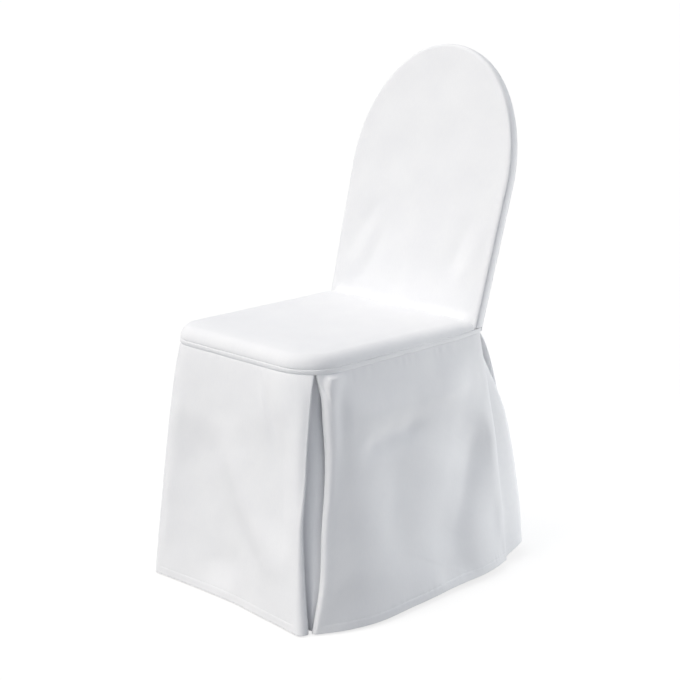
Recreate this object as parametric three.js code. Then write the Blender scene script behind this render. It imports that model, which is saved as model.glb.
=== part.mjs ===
// Fitted white cover for a round-backed banquet chair, in millimetres, +Z up.
// The chair faces -Y, and right and left are those of a viewer in front of it, so right is +X.
// Heights in this file are measured from the floor; the finished group is lowered so that its
// origin lies under the middle of the seat panel.
import * as THREE from 'three';
import { mergeVertices } from 'three/addons/utils/BufferGeometryUtils.js';

// Cloth and seams
const CLOTH = 2;
const SEAM_GAP = 0.4;
const PIPING = { halfHeight: 4.4, halfThickness: 2.4, proud: 0.9 };
const WHITE = 0xf6f7f8;
const CLOTH_ROUGHNESS = 0.9;

// Heights
const SEAT_HEIGHT = 482;
const BACK_FOOT_HEIGHT = 470;
const PIPING_HEIGHT = 448.5;
const BODY_EDGE = PIPING_HEIGHT + PIPING.halfHeight + SEAM_GAP;
const SKIRT_EDGE = PIPING_HEIGHT - PIPING.halfHeight - SEAM_GAP;

// Waist seam seen from above: corners with their rounding, from the right front corner round by the rear
const WAIST_CORNERS = [
  { x: 188.5, y: -208, radius: 75 },
  { x: 189, y: 100, radius: 300 },
  { x: 194.5, y: 212, radius: 20 },
  { x: 194, y: 228, radius: 10 },
  { x: -194, y: 228, radius: 10 },
  { x: -194.5, y: 212, radius: 20 },
  { x: -189, y: 100, radius: 300 },
  { x: -188.5, y: -208, radius: 55 },
];

// How far the waist seam climbs from the front corners to the rear, as [y, climb]
const SEAM_CLIMB = [[-150, 0], [0, 2], [100, 4], [170, 6], [215, 10], [240, 10.5]];

// Seat panel: a rounded edge, then a gentler crown, and a dip to the crease below the back
const SEAT_EDGE = { width: 19, rise: 23 };
const SEAT_CROWN_WIDTH = 48;
const SEAT_CREASE = { start: 170, dip: 5 };
const SEAT_REAR = 207.4;
const SEAT_SPINE_FRONT = -90;

// Back: a leaning slab of cloth with straight sides and an elliptical top
const BACK_FOOT = 208;
const BACK_LEAN = THREE.MathUtils.degToRad(15.3);
const BACK_THICKNESS = 25;
const BACK_FOOT_HALF_WIDTH = 194.5;
const BACK_HALF_WIDTH = 202;
const BACK_SHOULDER = 265;
const BACK_LENGTH = 511;
const BACK_SPINE_TOP = 300;
const EDGE_ROLL = { width: 6, depth: 2.5 };
const BAND_BULGE = 1.2;

// Creases of the inside back: bent lines of [x, v] on the panel, v up its slope, with the breadth of the
// left and the right flank, the rise, and the share of the line over which each end fades out
const BACK_CREASES = [
  { line: [[-172, 45], [-148, 126], [-98, 218]], breadth: [16, 20], rise: -2.3, fade: 0.35 },
  { line: [[-160, 30], [-117, 115], [-88, 195]], breadth: [17, 16], rise: 1.8, fade: 0.35 },
  { line: [[-166, 12], [-119, 49], [-93, 96], [-76, 160]], breadth: [16, 15], rise: -1.9, fade: 0.35 },
  { line: [[88, 62], [117, 140], [140, 222]], breadth: [20, 17], rise: -2.8, fade: 0.35 },
  { line: [[112, 40], [152, 113], [172, 200]], breadth: [17, 20], rise: 2.3, fade: 0.35 },
];
const EDGE_CALM = 30;

// Skirt: where each pleat starts on the waist seam, and how far the panels beside it stop short
const PLEATS = {
  frontRight: { x: 173.5, y: -178.2, clearance: 4.2 },
  rearRight: { x: 191, y: 225, clearance: 6.2 },
  rearLeft: { x: -191, y: 225, clearance: 6.2 },
  frontLeft: { x: -180, y: -184, clearance: 4.2 },
};
const FOLD_RADIUS = 2.6;
const SKIRT_LENGTH = SKIRT_EDGE - 3;
const FLARE_START = 0.02;
const SHIFT_REACH = 0.3;

// Folds of the skirt panels: the same kind of lines, as [across, down] millimetres on the flat panel
const FRONT_CREASES = [
  { line: [[34, 50], [28, 174], [16, 293], [12, 410]], breadth: [14, 24], rise: 3.5, fade: 0.2 },
  { line: [[112, 60], [104, 174], [108, 290], [122, 410]], breadth: [52, 46], rise: -6, fade: 0.25 },
  {
    line: [[160, 90], [185, 170], [228, 250], [300, 320], [356, 366]],
    breadth: [32, 36],
    rise: 5.5,
    fade: 0.3,
  },
  { line: [[256, 16], [276, 69], [298, 134]], breadth: [14, 11], rise: 2.6, fade: 0.4 },
  { line: [[276, 18], [297, 72], [320, 136]], breadth: [11, 15], rise: -2.6, fade: 0.4 },
  { line: [[318, 60], [326, 200], [332, 340], [336, 410]], breadth: [44, 30], rise: -8.5, fade: 0.2 },
];
const RIGHT_CREASES = [
  {
    line: [[84, 30], [78, 120], [66, 220], [58, 330], [56, 400]],
    breadth: [36, 60],
    rise: 8,
    fade: 0.15,
  },
  { line: [[70, 90], [190, 86], [320, 88], [440, 92]], breadth: [26, 30], rise: 6.5, fade: 0.2 },
  { line: [[75, 146], [167, 140], [260, 142], [330, 136]], breadth: [22, 22], rise: -7, fade: 0.25 },
  {
    line: [[446, 140], [428, 165], [400, 206], [372, 254], [346, 302], [316, 354], [292, 392]],
    breadth: [66, 34],
    rise: -14,
    fade: 0.25,
  },
  { line: [[385, 20], [388, 60], [392, 110]], breadth: [70, 60], rise: 4, fade: 0.4 },
  { line: [[188, 150], [178, 220], [165, 290], [150, 360]], breadth: [38, 30], rise: -4.5, fade: 0.3 },
  { line: [[190, 404], [260, 415], [330, 423]], breadth: [26, 28], rise: -7.5, fade: 0.3 },
];
const BACK_SKIRT_CREASES = [
  { line: [[75, 60], [72, 200], [62, 410]], breadth: [28, 26], rise: 6, fade: 0.25 },
  { line: [[135, 90], [138, 250], [142, 425]], breadth: [26, 28], rise: -5, fade: 0.25 },
  { line: [[215, 70], [222, 220], [232, 415]], breadth: [32, 30], rise: 5, fade: 0.25 },
  { line: [[288, 80], [296, 250], [304, 425]], breadth: [28, 26], rise: -5, fade: 0.25 },
];
const LEFT_CREASES = [
  {
    line: [[40, 70], [85, 140], [125, 210], [160, 290], [185, 360]],
    breadth: [36, 40],
    rise: 7,
    fade: 0.25,
  },
  { line: [[22, 150], [45, 220], [80, 290], [120, 370]], breadth: [28, 30], rise: -6, fade: 0.25 },
  { line: [[60, 90], [180, 86], [300, 90], [410, 86]], breadth: [24, 28], rise: 4, fade: 0.2 },
  { line: [[140, 140], [230, 134], [330, 138], [410, 142]], breadth: [22, 22], rise: -3.5, fade: 0.25 },
  { line: [[300, 160], [310, 240], [322, 340]], breadth: [30, 32], rise: 5, fade: 0.3 },
  { line: [[458, 40], [460, 180], [458, 400]], breadth: [36, 14], rise: 5, fade: 0.15 },
  { line: [[390, 60], [392, 200], [395, 400]], breadth: [30, 34], rise: -3, fade: 0.2 },
];

// Skirt panels, each going round the chair from front to right, rear and left.
// hem: plan position of the lower edge and its height. flare: power of the drop at start, middle and end.
// Each end folds back on a radius that grows to hemRadius over the drops in loosens, and turns back by the
// length of its return. opening: half angle in degrees between face and return, as [drop, angle].
// shift: how far that end slides along the panel, as [drop, slide].
const PLEAT_OPENING = [[0, 0], [0.05, 8], [0.2, 6], [0.55, 4], [1, 2]];
const REAR_OPENING = [[0, 0], [0.06, 9], [0.2, 5], [0.4, 1], [1, 0]];
const BACK_OPENING = [[0, 0], [0.06, 8], [0.3, 2], [1, 0]];
const STILL = [[0, 0], [1, 0]];
const SKIRT_PANELS = {
  front: {
    hem: [
      { x: -184, y: -249, z: 3 },
      { x: -122, y: -247, z: 3 },
      { x: -40, y: -247, z: 3 },
      { x: 60, y: -252, z: 3 },
      { x: 150, y: -264, z: 3 },
      { x: 223, y: -273, z: 3 },
    ],
    flare: [0.6, 0.62, 0.6],
    start: { hemRadius: 16, loosens: [0.35, 0.9], turnBack: 40, opening: PLEAT_OPENING, shift: STILL },
    end: {
      hemRadius: 15,
      loosens: [0.4, 1],
      turnBack: 40,
      opening: PLEAT_OPENING,
      shift: [[0, 0], [0.4, 0], [0.6, -7], [0.85, -7], [1, -2]],
    },
    creases: FRONT_CREASES,
  },
  right: {
    hem: [
      { x: 245.5, y: -242.5, z: 3 },
      { x: 271, y: -192, z: 4 },
      { x: 286, y: -120, z: 6 },
      { x: 278, y: -25, z: 8 },
      { x: 271, y: 60, z: 9 },
      { x: 264, y: 175, z: 12 },
      { x: 247, y: 248, z: 15 },
      { x: 228, y: 306, z: 18 },
    ],
    flare: [1.05, 1.1, 1.1],
    start: {
      hemRadius: 8,
      loosens: [0, 0.25],
      turnBack: 40,
      opening: PLEAT_OPENING,
      shift: [
        [0, 0], [0.06, 8], [0.1, 12], [0.2, 17], [0.3, 19.5], [0.4, 18.5], [0.6, 12], [0.8, 9], [1, 0],
      ],
    },
    end: {
      hemRadius: FOLD_RADIUS,
      loosens: [0, 0.5],
      turnBack: 30,
      opening: REAR_OPENING,
      shift: [[0, 0], [0.2, 0], [0.3, -5], [0.4, -9], [0.5, -13], [0.6, -20], [0.8, -31], [1, -42]],
    },
    creases: RIGHT_CREASES,
  },
  back: {
    hem: [
      { x: 162, y: 369, z: 18 },
      { x: 90, y: 373, z: 19 },
      { x: 0, y: 374, z: 19 },
      { x: -90, y: 373, z: 19 },
      { x: -162, y: 369, z: 18 },
    ],
    flare: [0.54, 0.58, 0.54],
    start: { hemRadius: 3, loosens: [0.1, 0.6], turnBack: 30, opening: BACK_OPENING, shift: STILL },
    end: { hemRadius: 3, loosens: [0.1, 0.6], turnBack: 30, opening: BACK_OPENING, shift: STILL },
    creases: BACK_SKIRT_CREASES,
  },
  left: {
    hem: [
      { x: -228, y: 304, z: 18 },
      { x: -247, y: 248, z: 15 },
      { x: -264, y: 175, z: 12 },
      { x: -270, y: 60, z: 9 },
      { x: -274, y: -25, z: 8 },
      { x: -270, y: -115, z: 6 },
      { x: -246, y: -180, z: 4 },
      { x: -213, y: -214, z: 3 },
    ],
    flare: [1.1, 0.7, 0.62],
    start: {
      hemRadius: FOLD_RADIUS,
      loosens: [0, 0.5],
      turnBack: 30,
      opening: REAR_OPENING,
      shift: [[0, 0], [0.2, 0], [0.3, 5], [0.4, 9], [0.5, 13], [0.6, 20], [0.8, 31], [1, 42]],
    },
    end: {
      hemRadius: 8,
      loosens: [0, 0.25],
      turnBack: 40,
      opening: PLEAT_OPENING,
      shift: [[0, 0], [0.1, -8], [0.36, -12], [0.6, -6], [1, 0]],
    },
    creases: LEFT_CREASES,
  },
};

// Pleat underlays touch the turned-back cloth at the waist and hang clear of it below; at the rear they
// swell into the corner between the panels by a share of it, as [drop, share]
const UNDERLAY_CLEARANCE = { waist: 1.3, below: 2, settles: 0.12 };
const REAR_FULLNESS = [[0, 0], [0.15, 0.7], [0.3, 1.05], [0.5, 0.9], [0.75, 0.7], [1, 0.57]];
const NO_FULLNESS = [[0, 0], [1, 0]];

// Steps of the surfaces
const STEPS = {
  seatInset: [0, 1.5, 6, 12, 19, 32, 48, 52],
  seatAlong: 52,
  backAlong: 44,
  backInward: [0, 0.015, 0.04, 0.16, 0.5, 1],
  insideInward: [0, 0.015, 0.04, 0.13, 0.27, 0.45, 0.7, 1],
  band: 2,
  bandAlong: 56,
  pipingAlong: 84,
  pipingRound: 6,
  skirtFace: 20,
  skirtArc: 4,
  skirtReturn: 3,
  skirtDrops: [0, 0.04, 0.09, 0.14, 0.2, 0.26, 0.33, 0.4, 0.47, 0.54, 0.61, 0.69, 0.77, 0.85, 0.93, 1],
  underlayAcross: 10,
};

const smooth = (from, to, value) => THREE.MathUtils.smoothstep(value, from, to);
const mix = THREE.MathUtils.lerp;

function fractions(count) {
  return Array.from({ length: count + 1 }, (_, i) => i / count);
}

// Cubic curve through [place, value] rows, with each slope taken from the neighbouring rows
function curveThrough(rows) {
  const slopes = rows.map((_, i) => {
    const before = rows[Math.max(i - 1, 0)];
    const after = rows[Math.min(i + 1, rows.length - 1)];
    return (after[1] - before[1]) / (after[0] - before[0]);
  });
  return (place) => {
    const next = rows.findIndex((row, i) => i > 0 && place <= row[0]);
    const i = (next < 0 ? rows.length - 1 : next) - 1;
    const span = rows[i + 1][0] - rows[i][0];
    const t = THREE.MathUtils.clamp((place - rows[i][0]) / span, 0, 1);
    const blend = t * t * (3 - 2 * t);
    const bend = t * (1 - t) * (slopes[i] * (1 - t) - slopes[i + 1] * t) * span;
    return mix(rows[i][1], rows[i + 1][1], blend) + bend;
  };
}

// Surface of rows and columns of points; row by row the columns run to the right of the outer side
function gridSurface(rows) {
  const columns = rows[0].length;
  const index = [];
  for (let r = 0; r + 1 < rows.length; r += 1) {
    for (let c = 0; c + 1 < columns; c += 1) {
      const a = r * columns + c;
      index.push(a, a + columns, a + 1, a + 1, a + columns, a + columns + 1);
    }
  }
  const geometry = new THREE.BufferGeometry().setFromPoints(rows.flat());
  geometry.setIndex(index);
  return geometry;
}

// Closed sheet of the cloth's thickness around an open surface: both faces and a rim along its edges
function sheetAround(surface) {
  const welded = mergeVertices(surface, 1e-3);
  const corners = [];
  for (let t = 0; t < welded.index.count; t += 3) {
    const [a, b, c] = [0, 1, 2].map((k) => welded.index.getX(t + k));
    if (a !== b && b !== c && c !== a) corners.push([a, b, c]);
  }
  welded.setIndex(corners.flat());
  welded.computeVertexNormals();

  const place = welded.getAttribute('position');
  const normal = welded.getAttribute('normal');
  const count = place.count;
  const points = [CLOTH / 2, -CLOTH / 2].flatMap((offset) =>
    Array.from({ length: count }, (_, i) => {
      const point = new THREE.Vector3().fromBufferAttribute(place, i);
      return point.addScaledVector(new THREE.Vector3().fromBufferAttribute(normal, i), offset);
    }),
  );
  const edges = new Set(corners.flatMap(([a, b, c]) => [`${a},${b}`, `${b},${c}`, `${c},${a}`]));
  const index = corners.flatMap(([a, b, c]) => [a, b, c, count + c, count + b, count + a]);
  for (const edge of edges) {
    const [a, b] = edge.split(',').map(Number);
    if (!edges.has(`${b},${a}`)) index.push(b, a, count + a, count + a, count + b, b);
  }
  const geometry = new THREE.BufferGeometry().setFromPoints(points);
  geometry.setIndex(index);
  return geometry;
}

function clothMesh(name, geometry) {
  geometry.computeVertexNormals();
  const look = { color: WHITE, roughness: CLOTH_ROUGHNESS, metalness: 0 };
  const material = new THREE.MeshStandardMaterial(look);
  const mesh = new THREE.Mesh(geometry, material);
  mesh.name = name;
  return mesh;
}

// Closed path with straight stretches and an arc at each corner
function roundedLoop(corners) {
  const path = new THREE.Path();
  const vectors = corners.map(({ x, y }) => new THREE.Vector2(x, y));
  const first = vectors[0].clone().lerp(vectors.at(-1), 0.5);
  path.moveTo(first.x, first.y);
  corners.forEach(({ radius }, i) => {
    const corner = vectors[i];
    const before = vectors.at(i - 1).clone().sub(corner).normalize();
    const after = vectors[(i + 1) % vectors.length].clone().sub(corner).normalize();
    const half = Math.acos(before.dot(after)) / 2;
    const middle = before.clone().add(after).normalize();
    const centre = corner.clone().addScaledVector(middle, radius / Math.sin(half));
    const start = corner.clone().addScaledVector(before, radius / Math.tan(half)).sub(centre);
    const end = corner.clone().addScaledVector(after, radius / Math.tan(half)).sub(centre);
    const clockwise = before.cross(after) > 0;
    path.lineTo(centre.x + start.x, centre.y + start.y);
    path.absarc(centre.x, centre.y, radius, start.angle(), end.angle(), clockwise);
  });
  path.lineTo(first.x, first.y);
  return path;
}

// The waist seam starts and ends at the middle of the front and runs round by the right side
const waistPath = roundedLoop(WAIST_CORNERS);
waistPath.arcLengthDivisions = 2000;
const waistLength = waistPath.getLength();
const waistPoints = waistPath.getSpacedPoints(2000);
const seamClimb = curveThrough(SEAM_CLIMB);

function waistAt(distance) {
  const place = (THREE.MathUtils.euclideanModulo(distance, waistLength) / waistLength) * 2000;
  const i = Math.min(Math.floor(place), 1999);
  return waistPoints[i].clone().lerp(waistPoints[i + 1], place - i);
}

function waistDistance({ x, y }) {
  const target = new THREE.Vector2(x, y);
  const ranges = waistPoints.map((point) => point.distanceToSquared(target));
  return (ranges.indexOf(Math.min(...ranges)) / 2000) * waistLength;
}

function outwardFrom(before, after) {
  return new THREE.Vector2(after.y - before.y, before.x - after.x).normalize();
}

// Height of the seat panel's middle surface at a distance inside the waist seam
function seatHeight(inset, y) {
  const turn = Math.max(0, 1 - inset / SEAT_EDGE.width);
  const edge = BODY_EDGE + mix(seamClimb(y), SEAT_EDGE.rise, Math.sqrt(1 - turn * turn));
  const crown = SEAT_HEIGHT - CLOTH / 2 - BODY_EDGE - SEAT_EDGE.rise;
  const dip = SEAT_CREASE.dip * smooth(SEAT_CREASE.start, SEAT_REAR, y);
  return edge + (crown - dip) * smooth(0, SEAT_CROWN_WIDTH, inset);
}

// Seat panel: rings inside the seam outline, then flat to a spine down the middle
function seatTop() {
  const right = waistDistance({ x: BACK_FOOT_HALF_WIDTH, y: SEAT_REAR });
  const left = waistDistance({ x: -BACK_FOOT_HALF_WIDTH, y: SEAT_REAR }) - waistLength;
  const stations = fractions(STEPS.seatAlong).map((t) => {
    const share = 2 * t - 1;
    return share < 0 ? -share * left : share * right;
  });
  const rows = STEPS.seatInset.map((inset) =>
    stations.map((distance) => {
      const inward = outwardFrom(waistAt(distance - 1), waistAt(distance + 1)).negate();
      const straight = smooth(SEAT_REAR - SEAT_CROWN_WIDTH, SEAT_REAR, waistAt(distance).y);
      inward.lerp(new THREE.Vector2(-Math.sign(distance), 0), straight).normalize();
      const point = waistAt(distance).addScaledVector(inward, inset);
      return new THREE.Vector3(point.x, point.y, seatHeight(inset, point.y));
    }),
  );
  const flat = rows.at(-1);
  const spine = flat.map((_, i) => {
    const { y, z } = flat[Math.max(i, STEPS.seatAlong - i)];
    return new THREE.Vector3(0, Math.max(y, SEAT_SPINE_FRONT), z);
  });
  rows.push(spine);
  return sheetAround(gridSurface(rows.reverse()));
}

// Flattened cord in the waist seam: an oval carried once round the chair
function piping() {
  const rows = fractions(STEPS.pipingAlong).map((t) => {
    const distance = t * waistLength;
    const point = waistAt(distance);
    const out = outwardFrom(waistAt(distance - 1), waistAt(distance + 1));
    return fractions(STEPS.pipingRound).map((share) => {
      const turn = share * 2 * Math.PI;
      const reach = PIPING.proud + PIPING.halfThickness * Math.cos(turn);
      const height = PIPING_HEIGHT + seamClimb(point.y) + PIPING.halfHeight * Math.sin(turn);
      return new THREE.Vector3(point.x + out.x * reach, point.y + out.y * reach, height);
    });
  });
  return mergeVertices(gridSurface(rows), 1e-3);
}

// A point of the back: x across, v up the slope from the seat, depth behind the front face
function backPoint(x, v, depth) {
  const y = BACK_FOOT + v * Math.sin(BACK_LEAN) + depth * Math.cos(BACK_LEAN);
  const z = BACK_FOOT_HEIGHT + v * Math.cos(BACK_LEAN) - depth * Math.sin(BACK_LEAN);
  return new THREE.Vector3(x, y, z);
}

// Slope place at which the back reaches the waist seam, at a depth
function backFoot(depth) {
  const height = BODY_EDGE + seamClimb(BACK_FOOT + depth) - BACK_FOOT_HEIGHT;
  return (height + depth * Math.sin(BACK_LEAN)) / Math.cos(BACK_LEAN);
}

// Outline of the back from the left foot over the top to the right foot, at equal steps
function backOutline(count, inset) {
  const path = new THREE.Path();
  path.moveTo(inset - BACK_FOOT_HALF_WIDTH, 0);
  path.lineTo(inset - BACK_HALF_WIDTH, BACK_SHOULDER);
  const rise = BACK_LENGTH - BACK_SHOULDER - inset;
  path.absellipse(0, BACK_SHOULDER, BACK_HALF_WIDTH - inset, rise, Math.PI, 0, true);
  path.lineTo(BACK_FOOT_HALF_WIDTH - inset, 0);
  path.arcLengthDivisions = 1000;
  return path.getSpacedPoints(count);
}

// Height of soft ridges and troughs over a flat place: each is a bell of the distance to its bent line,
// and fades out towards the line's ends
function creaseRise(creases, x, y) {
  return creases.reduce((sum, { line, breadth, rise, fade }) => {
    let nearest = { range: Infinity };
    let begun = 0;
    for (let i = 0; i + 1 < line.length; i += 1) {
      const from = new THREE.Vector2(...line[i]);
      const way = new THREE.Vector2(...line[i + 1]).sub(from);
      const length = way.length();
      way.normalize();
      const across = new THREE.Vector2(x, y).sub(from);
      const along = THREE.MathUtils.clamp(across.dot(way), 0, length);
      across.addScaledVector(way, -along);
      const range = across.length();
      if (range < nearest.range) nearest = { range, at: begun + along, side: across.cross(way) };
      begun += length;
    }
    const bell = Math.exp(-((nearest.range / breadth[nearest.side > 0 ? 1 : 0]) ** 2));
    const ends = smooth(0, fade * begun, nearest.at) * smooth(0, fade * begun, begun - nearest.at);
    return sum + rise * bell * ends;
  }, 0);
}

// Back panel: rows run inward from the outline to a spine, and the edges roll towards the band
function backPanel({ faceDepth, roll, footShift, creases, inward }) {
  const outline = backOutline(STEPS.backAlong, CLOTH / 2);
  const rows = inward.map((share) =>
    outline.map((edge) => {
      const spine = new THREE.Vector2(0, Math.min(edge.y, BACK_SPINE_TOP));
      const point = edge.clone().lerp(spine, share);
      const inset = edge.distanceTo(point);
      const rolled = Math.max(0, 1 - inset / EDGE_ROLL.width) ** 2 * EDGE_ROLL.depth;
      const settle = 1 - smooth(0, 60, point.y);
      const v = point.y + footShift(point.x) * settle;
      const crease = creaseRise(creases, point.x, v) * smooth(0, EDGE_CALM, inset);
      return backPoint(point.x, v, faceDepth + roll * rolled - crease);
    }),
  );
  return sheetAround(gridSurface(roll > 0 ? rows.reverse() : rows));
}

// The inside back stands on the seat panel and follows its rounded edges down at both sides
function insideBack() {
  const clearance = CLOTH / 2 + SEAM_GAP;
  const footShift = (x) => {
    const inset = Math.max(0, BACK_FOOT_HALF_WIDTH - Math.abs(x));
    return (seatHeight(inset, SEAT_REAR) + clearance - BACK_FOOT_HEIGHT) / Math.cos(BACK_LEAN);
  };
  const creases = BACK_CREASES;
  return backPanel({ faceDepth: CLOTH / 2, roll: 1, footShift, creases, inward: STEPS.insideInward });
}

function outsideBack() {
  const faceDepth = BACK_THICKNESS - CLOTH / 2;
  const footShift = () => backFoot(faceDepth);
  return backPanel({ faceDepth, roll: -1, footShift, creases: [], inward: STEPS.backInward });
}

// Strip over the arch between the two back panels, slightly rounded across
function backEdgeBand() {
  const margin = CLOTH / 2 + EDGE_ROLL.depth + SEAM_GAP + 0.8;
  const across = fractions(STEPS.band);
  const rows = across.map((share) => {
    const depth = mix(margin, BACK_THICKNESS - margin, share);
    const bulge = BAND_BULGE * (1 - (2 * share - 1) ** 2);
    return backOutline(STEPS.bandAlong, CLOTH / 2 - bulge).map(({ x, y }) => {
      const settle = 1 - smooth(0, 60, y);
      return backPoint(x, y + backFoot(depth) * settle, depth);
    });
  });
  return sheetAround(gridSurface(rows));
}

// Where each panel's face starts and ends along the waist seam
const pleatStart = (pleat) => waistDistance(pleat) + pleat.clearance;
const pleatEnd = (pleat) => waistDistance(pleat) - pleat.clearance;
const PANEL_SPANS = {
  front: [pleatStart(PLEATS.frontLeft) - waistLength, pleatEnd(PLEATS.frontRight)],
  right: [pleatStart(PLEATS.frontRight), pleatEnd(PLEATS.rearRight)],
  back: [pleatStart(PLEATS.rearRight), pleatEnd(PLEATS.rearLeft)],
  left: [pleatStart(PLEATS.rearLeft), pleatEnd(PLEATS.frontLeft)],
};

// One skirt panel: its face, the outward direction, and points of the cloth folded back at its ends
class SkirtPanel {
  constructor([from, to], { hem, flare, start, end, creases }) {
    this.from = from;
    this.to = to;
    this.hem = new THREE.CatmullRomCurve3(hem.map(({ x, y, z }) => new THREE.Vector3(x, y, z)));
    this.flare = curveThrough(flare.map((power, i) => [i / (flare.length - 1), power]));
    this.ends = [start, end].map((row) => ({
      ...row,
      slide: curveThrough(row.shift),
      angle: curveThrough(row.opening),
    }));
    this.creases = creases;
    this.flatWidth = (to - from + this.hem.getLength()) / 2;
  }

  // Between the waist seam and the hem the cloth moves outward with a power of the drop
  plain(along, drop) {
    const slide =
      this.ends[0].slide(drop) * Math.max(0, 1 - along / SHIFT_REACH) ** 2 +
      this.ends[1].slide(drop) * Math.max(0, 1 - (1 - along) / SHIFT_REACH) ** 2;
    const place = THREE.MathUtils.clamp(along + slide / (this.to - this.from), 0, 1);
    const top = waistAt(mix(this.from, this.to, place));
    const hem = this.hem.getPointAt(place);
    const power = this.flare(along);
    const bias = FLARE_START ** power;
    const out = ((drop + FLARE_START) ** power - bias) / ((1 + FLARE_START) ** power - bias);
    const height = mix(SKIRT_EDGE + seamClimb(top.y), hem.z, drop);
    return new THREE.Vector3(mix(top.x, hem.x, out), mix(top.y, hem.y, out), height);
  }

  outward(along, drop) {
    const before = this.plain(Math.max(along - 0.01, 0), drop);
    return outwardFrom(before, this.plain(Math.min(along + 0.01, 1), drop));
  }

  face(along, drop) {
    const rise = creaseRise(this.creases, along * this.flatWidth, drop * SKIRT_LENGTH);
    const fade = smooth(0, 0.08, drop) * smooth(0, 0.06, along) * smooth(0, 0.06, 1 - along);
    const out = this.outward(along, drop).multiplyScalar(rise * fade);
    return this.plain(along, drop).add(new THREE.Vector3(out.x, out.y, 0));
  }

  radius(end, drop) {
    const { hemRadius, loosens } = this.ends[end];
    return mix(FOLD_RADIUS, hemRadius, smooth(...loosens, drop));
  }

  opening(end, drop) {
    return THREE.MathUtils.degToRad(this.ends[end].angle(drop));
  }

  // Point past the end of the face by a distance (or back under it if negative), at a depth inside it
  behind(end, past, depth, drop) {
    const side = end === 0 ? -1 : 1;
    const back = Math.min(past, 0) / (this.to - this.from);
    const along = end + side * back;
    const point = this.face(along, drop);
    const out = this.outward(along, drop);
    const ahead = new THREE.Vector2(-out.y, out.x).multiplyScalar(side * Math.max(past, 0));
    return point.add(new THREE.Vector3(ahead.x - out.x * depth, ahead.y - out.y * depth, 0));
  }

  // Depth inside the face at which the turned-back cloth ends
  endDepth(end, drop) {
    const radius = this.radius(end, drop);
    const opening = this.opening(end, drop);
    return radius * (1 + Math.cos(opening)) + this.ends[end].turnBack * Math.sin(opening);
  }

  // Fold and return at one end, from the face inward: an arc, then a straight stretch
  fold(end, drop) {
    const radius = this.radius(end, drop);
    const opening = this.opening(end, drop);
    const arc = fractions(STEPS.skirtArc).slice(1).map((share) => {
      const turn = share * (Math.PI - opening);
      return [radius * Math.sin(turn), radius * (1 - Math.cos(turn))];
    });
    const [past, depth] = arc.at(-1);
    const straight = fractions(STEPS.skirtReturn).slice(1).map((share) => {
      const length = share * this.ends[end].turnBack;
      return [past - length * Math.cos(opening), depth + length * Math.sin(opening)];
    });
    return [...arc, ...straight].map(([beyond, inside]) => this.behind(end, beyond, inside, drop));
  }

  sheet() {
    const rows = STEPS.skirtDrops.map((drop) => [
      ...this.fold(0, drop).reverse(),
      ...fractions(STEPS.skirtFace).map((along) => this.face(along, drop)),
      ...this.fold(1, drop),
    ]);
    return sheetAround(gridSurface(rows));
  }
}

// Way from the chord between two panels' ends towards the corner in which their own directions would meet
function cornerBulge(before, after, drop, space) {
  const depths = [before.endDepth(1, drop) + space, after.endDepth(0, drop) + space];
  const first = before.behind(1, 0, depths[0], drop);
  const second = after.behind(0, 0, depths[1], drop);
  const chord = second.clone().sub(first);
  const ahead = before.behind(1, 1, depths[0], drop).sub(first);
  const aback = after.behind(0, 1, depths[1], drop).sub(second);
  ahead.multiplyScalar(Math.max(0, chord.dot(ahead)));
  aback.multiplyScalar(Math.max(0, -chord.dot(aback)));
  return ahead.add(aback).multiplyScalar(0.5);
}

// Strip behind a pleat: it follows the inside of both panels and turns the corner between them
function pleatUnderlay(before, after, fullness) {
  const swell = curveThrough(fullness);
  const rows = STEPS.skirtDrops.map((drop) => {
    const { waist, below, settles } = UNDERLAY_CLEARANCE;
    const space = CLOTH + mix(waist, below, smooth(0, settles, drop));
    const bulge = cornerBulge(before, after, drop, space).multiplyScalar(swell(drop));
    return fractions(STEPS.underlayAcross).map((t) => {
      const across = 2 * t - 1;
      const first = before.behind(
        1,
        Math.min(across, 0) * before.ends[1].turnBack,
        before.endDepth(1, drop) + space,
        drop,
      );
      const second = after.behind(
        0,
        Math.min(-across, 0) * after.ends[0].turnBack,
        after.endDepth(0, drop) + space,
        drop,
      );
      const share = smooth(-0.4, 0, across) * smooth(-0.4, 0, -across);
      return first.lerp(second, smooth(-0.7, 0.7, across)).addScaledVector(bulge, share);
    });
  });
  return sheetAround(gridSurface(rows));
}

const panels = Object.fromEntries(
  Object.entries(SKIRT_PANELS).map(([name, row]) => [name, new SkirtPanel(PANEL_SPANS[name], row)]),
);

const cover = new THREE.Group();
cover.add(
  clothMesh('seat_top', seatTop()),
  clothMesh('seat_piping', piping()),
  clothMesh('inside_back', insideBack()),
  clothMesh('back_edge_band', backEdgeBand()),
  clothMesh('outside_back', outsideBack()),
  ...Object.entries(panels).map(([name, panel]) => clothMesh(`skirt_${name}`, panel.sheet())),
  clothMesh('pleat_front_right', pleatUnderlay(panels.front, panels.right, NO_FULLNESS)),
  clothMesh('pleat_rear_right', pleatUnderlay(panels.right, panels.back, REAR_FULLNESS)),
  clothMesh('pleat_rear_left', pleatUnderlay(panels.back, panels.left, REAR_FULLNESS)),
  clothMesh('pleat_front_left', pleatUnderlay(panels.left, panels.front, NO_FULLNESS)),
);
cover.position.z = CLOTH - SEAT_HEIGHT;

export default cover;
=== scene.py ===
"""White fitted chair cover with a round back, hanging to the floor.

Each piece of cloth is a surface worked out on a grid of two parameters. Sizes are in millimetres and
heights are measured from the floor; the front faces -Y and right is +X. The meshes are in metres,
around the underside of the seat panel.
"""
import math

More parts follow.
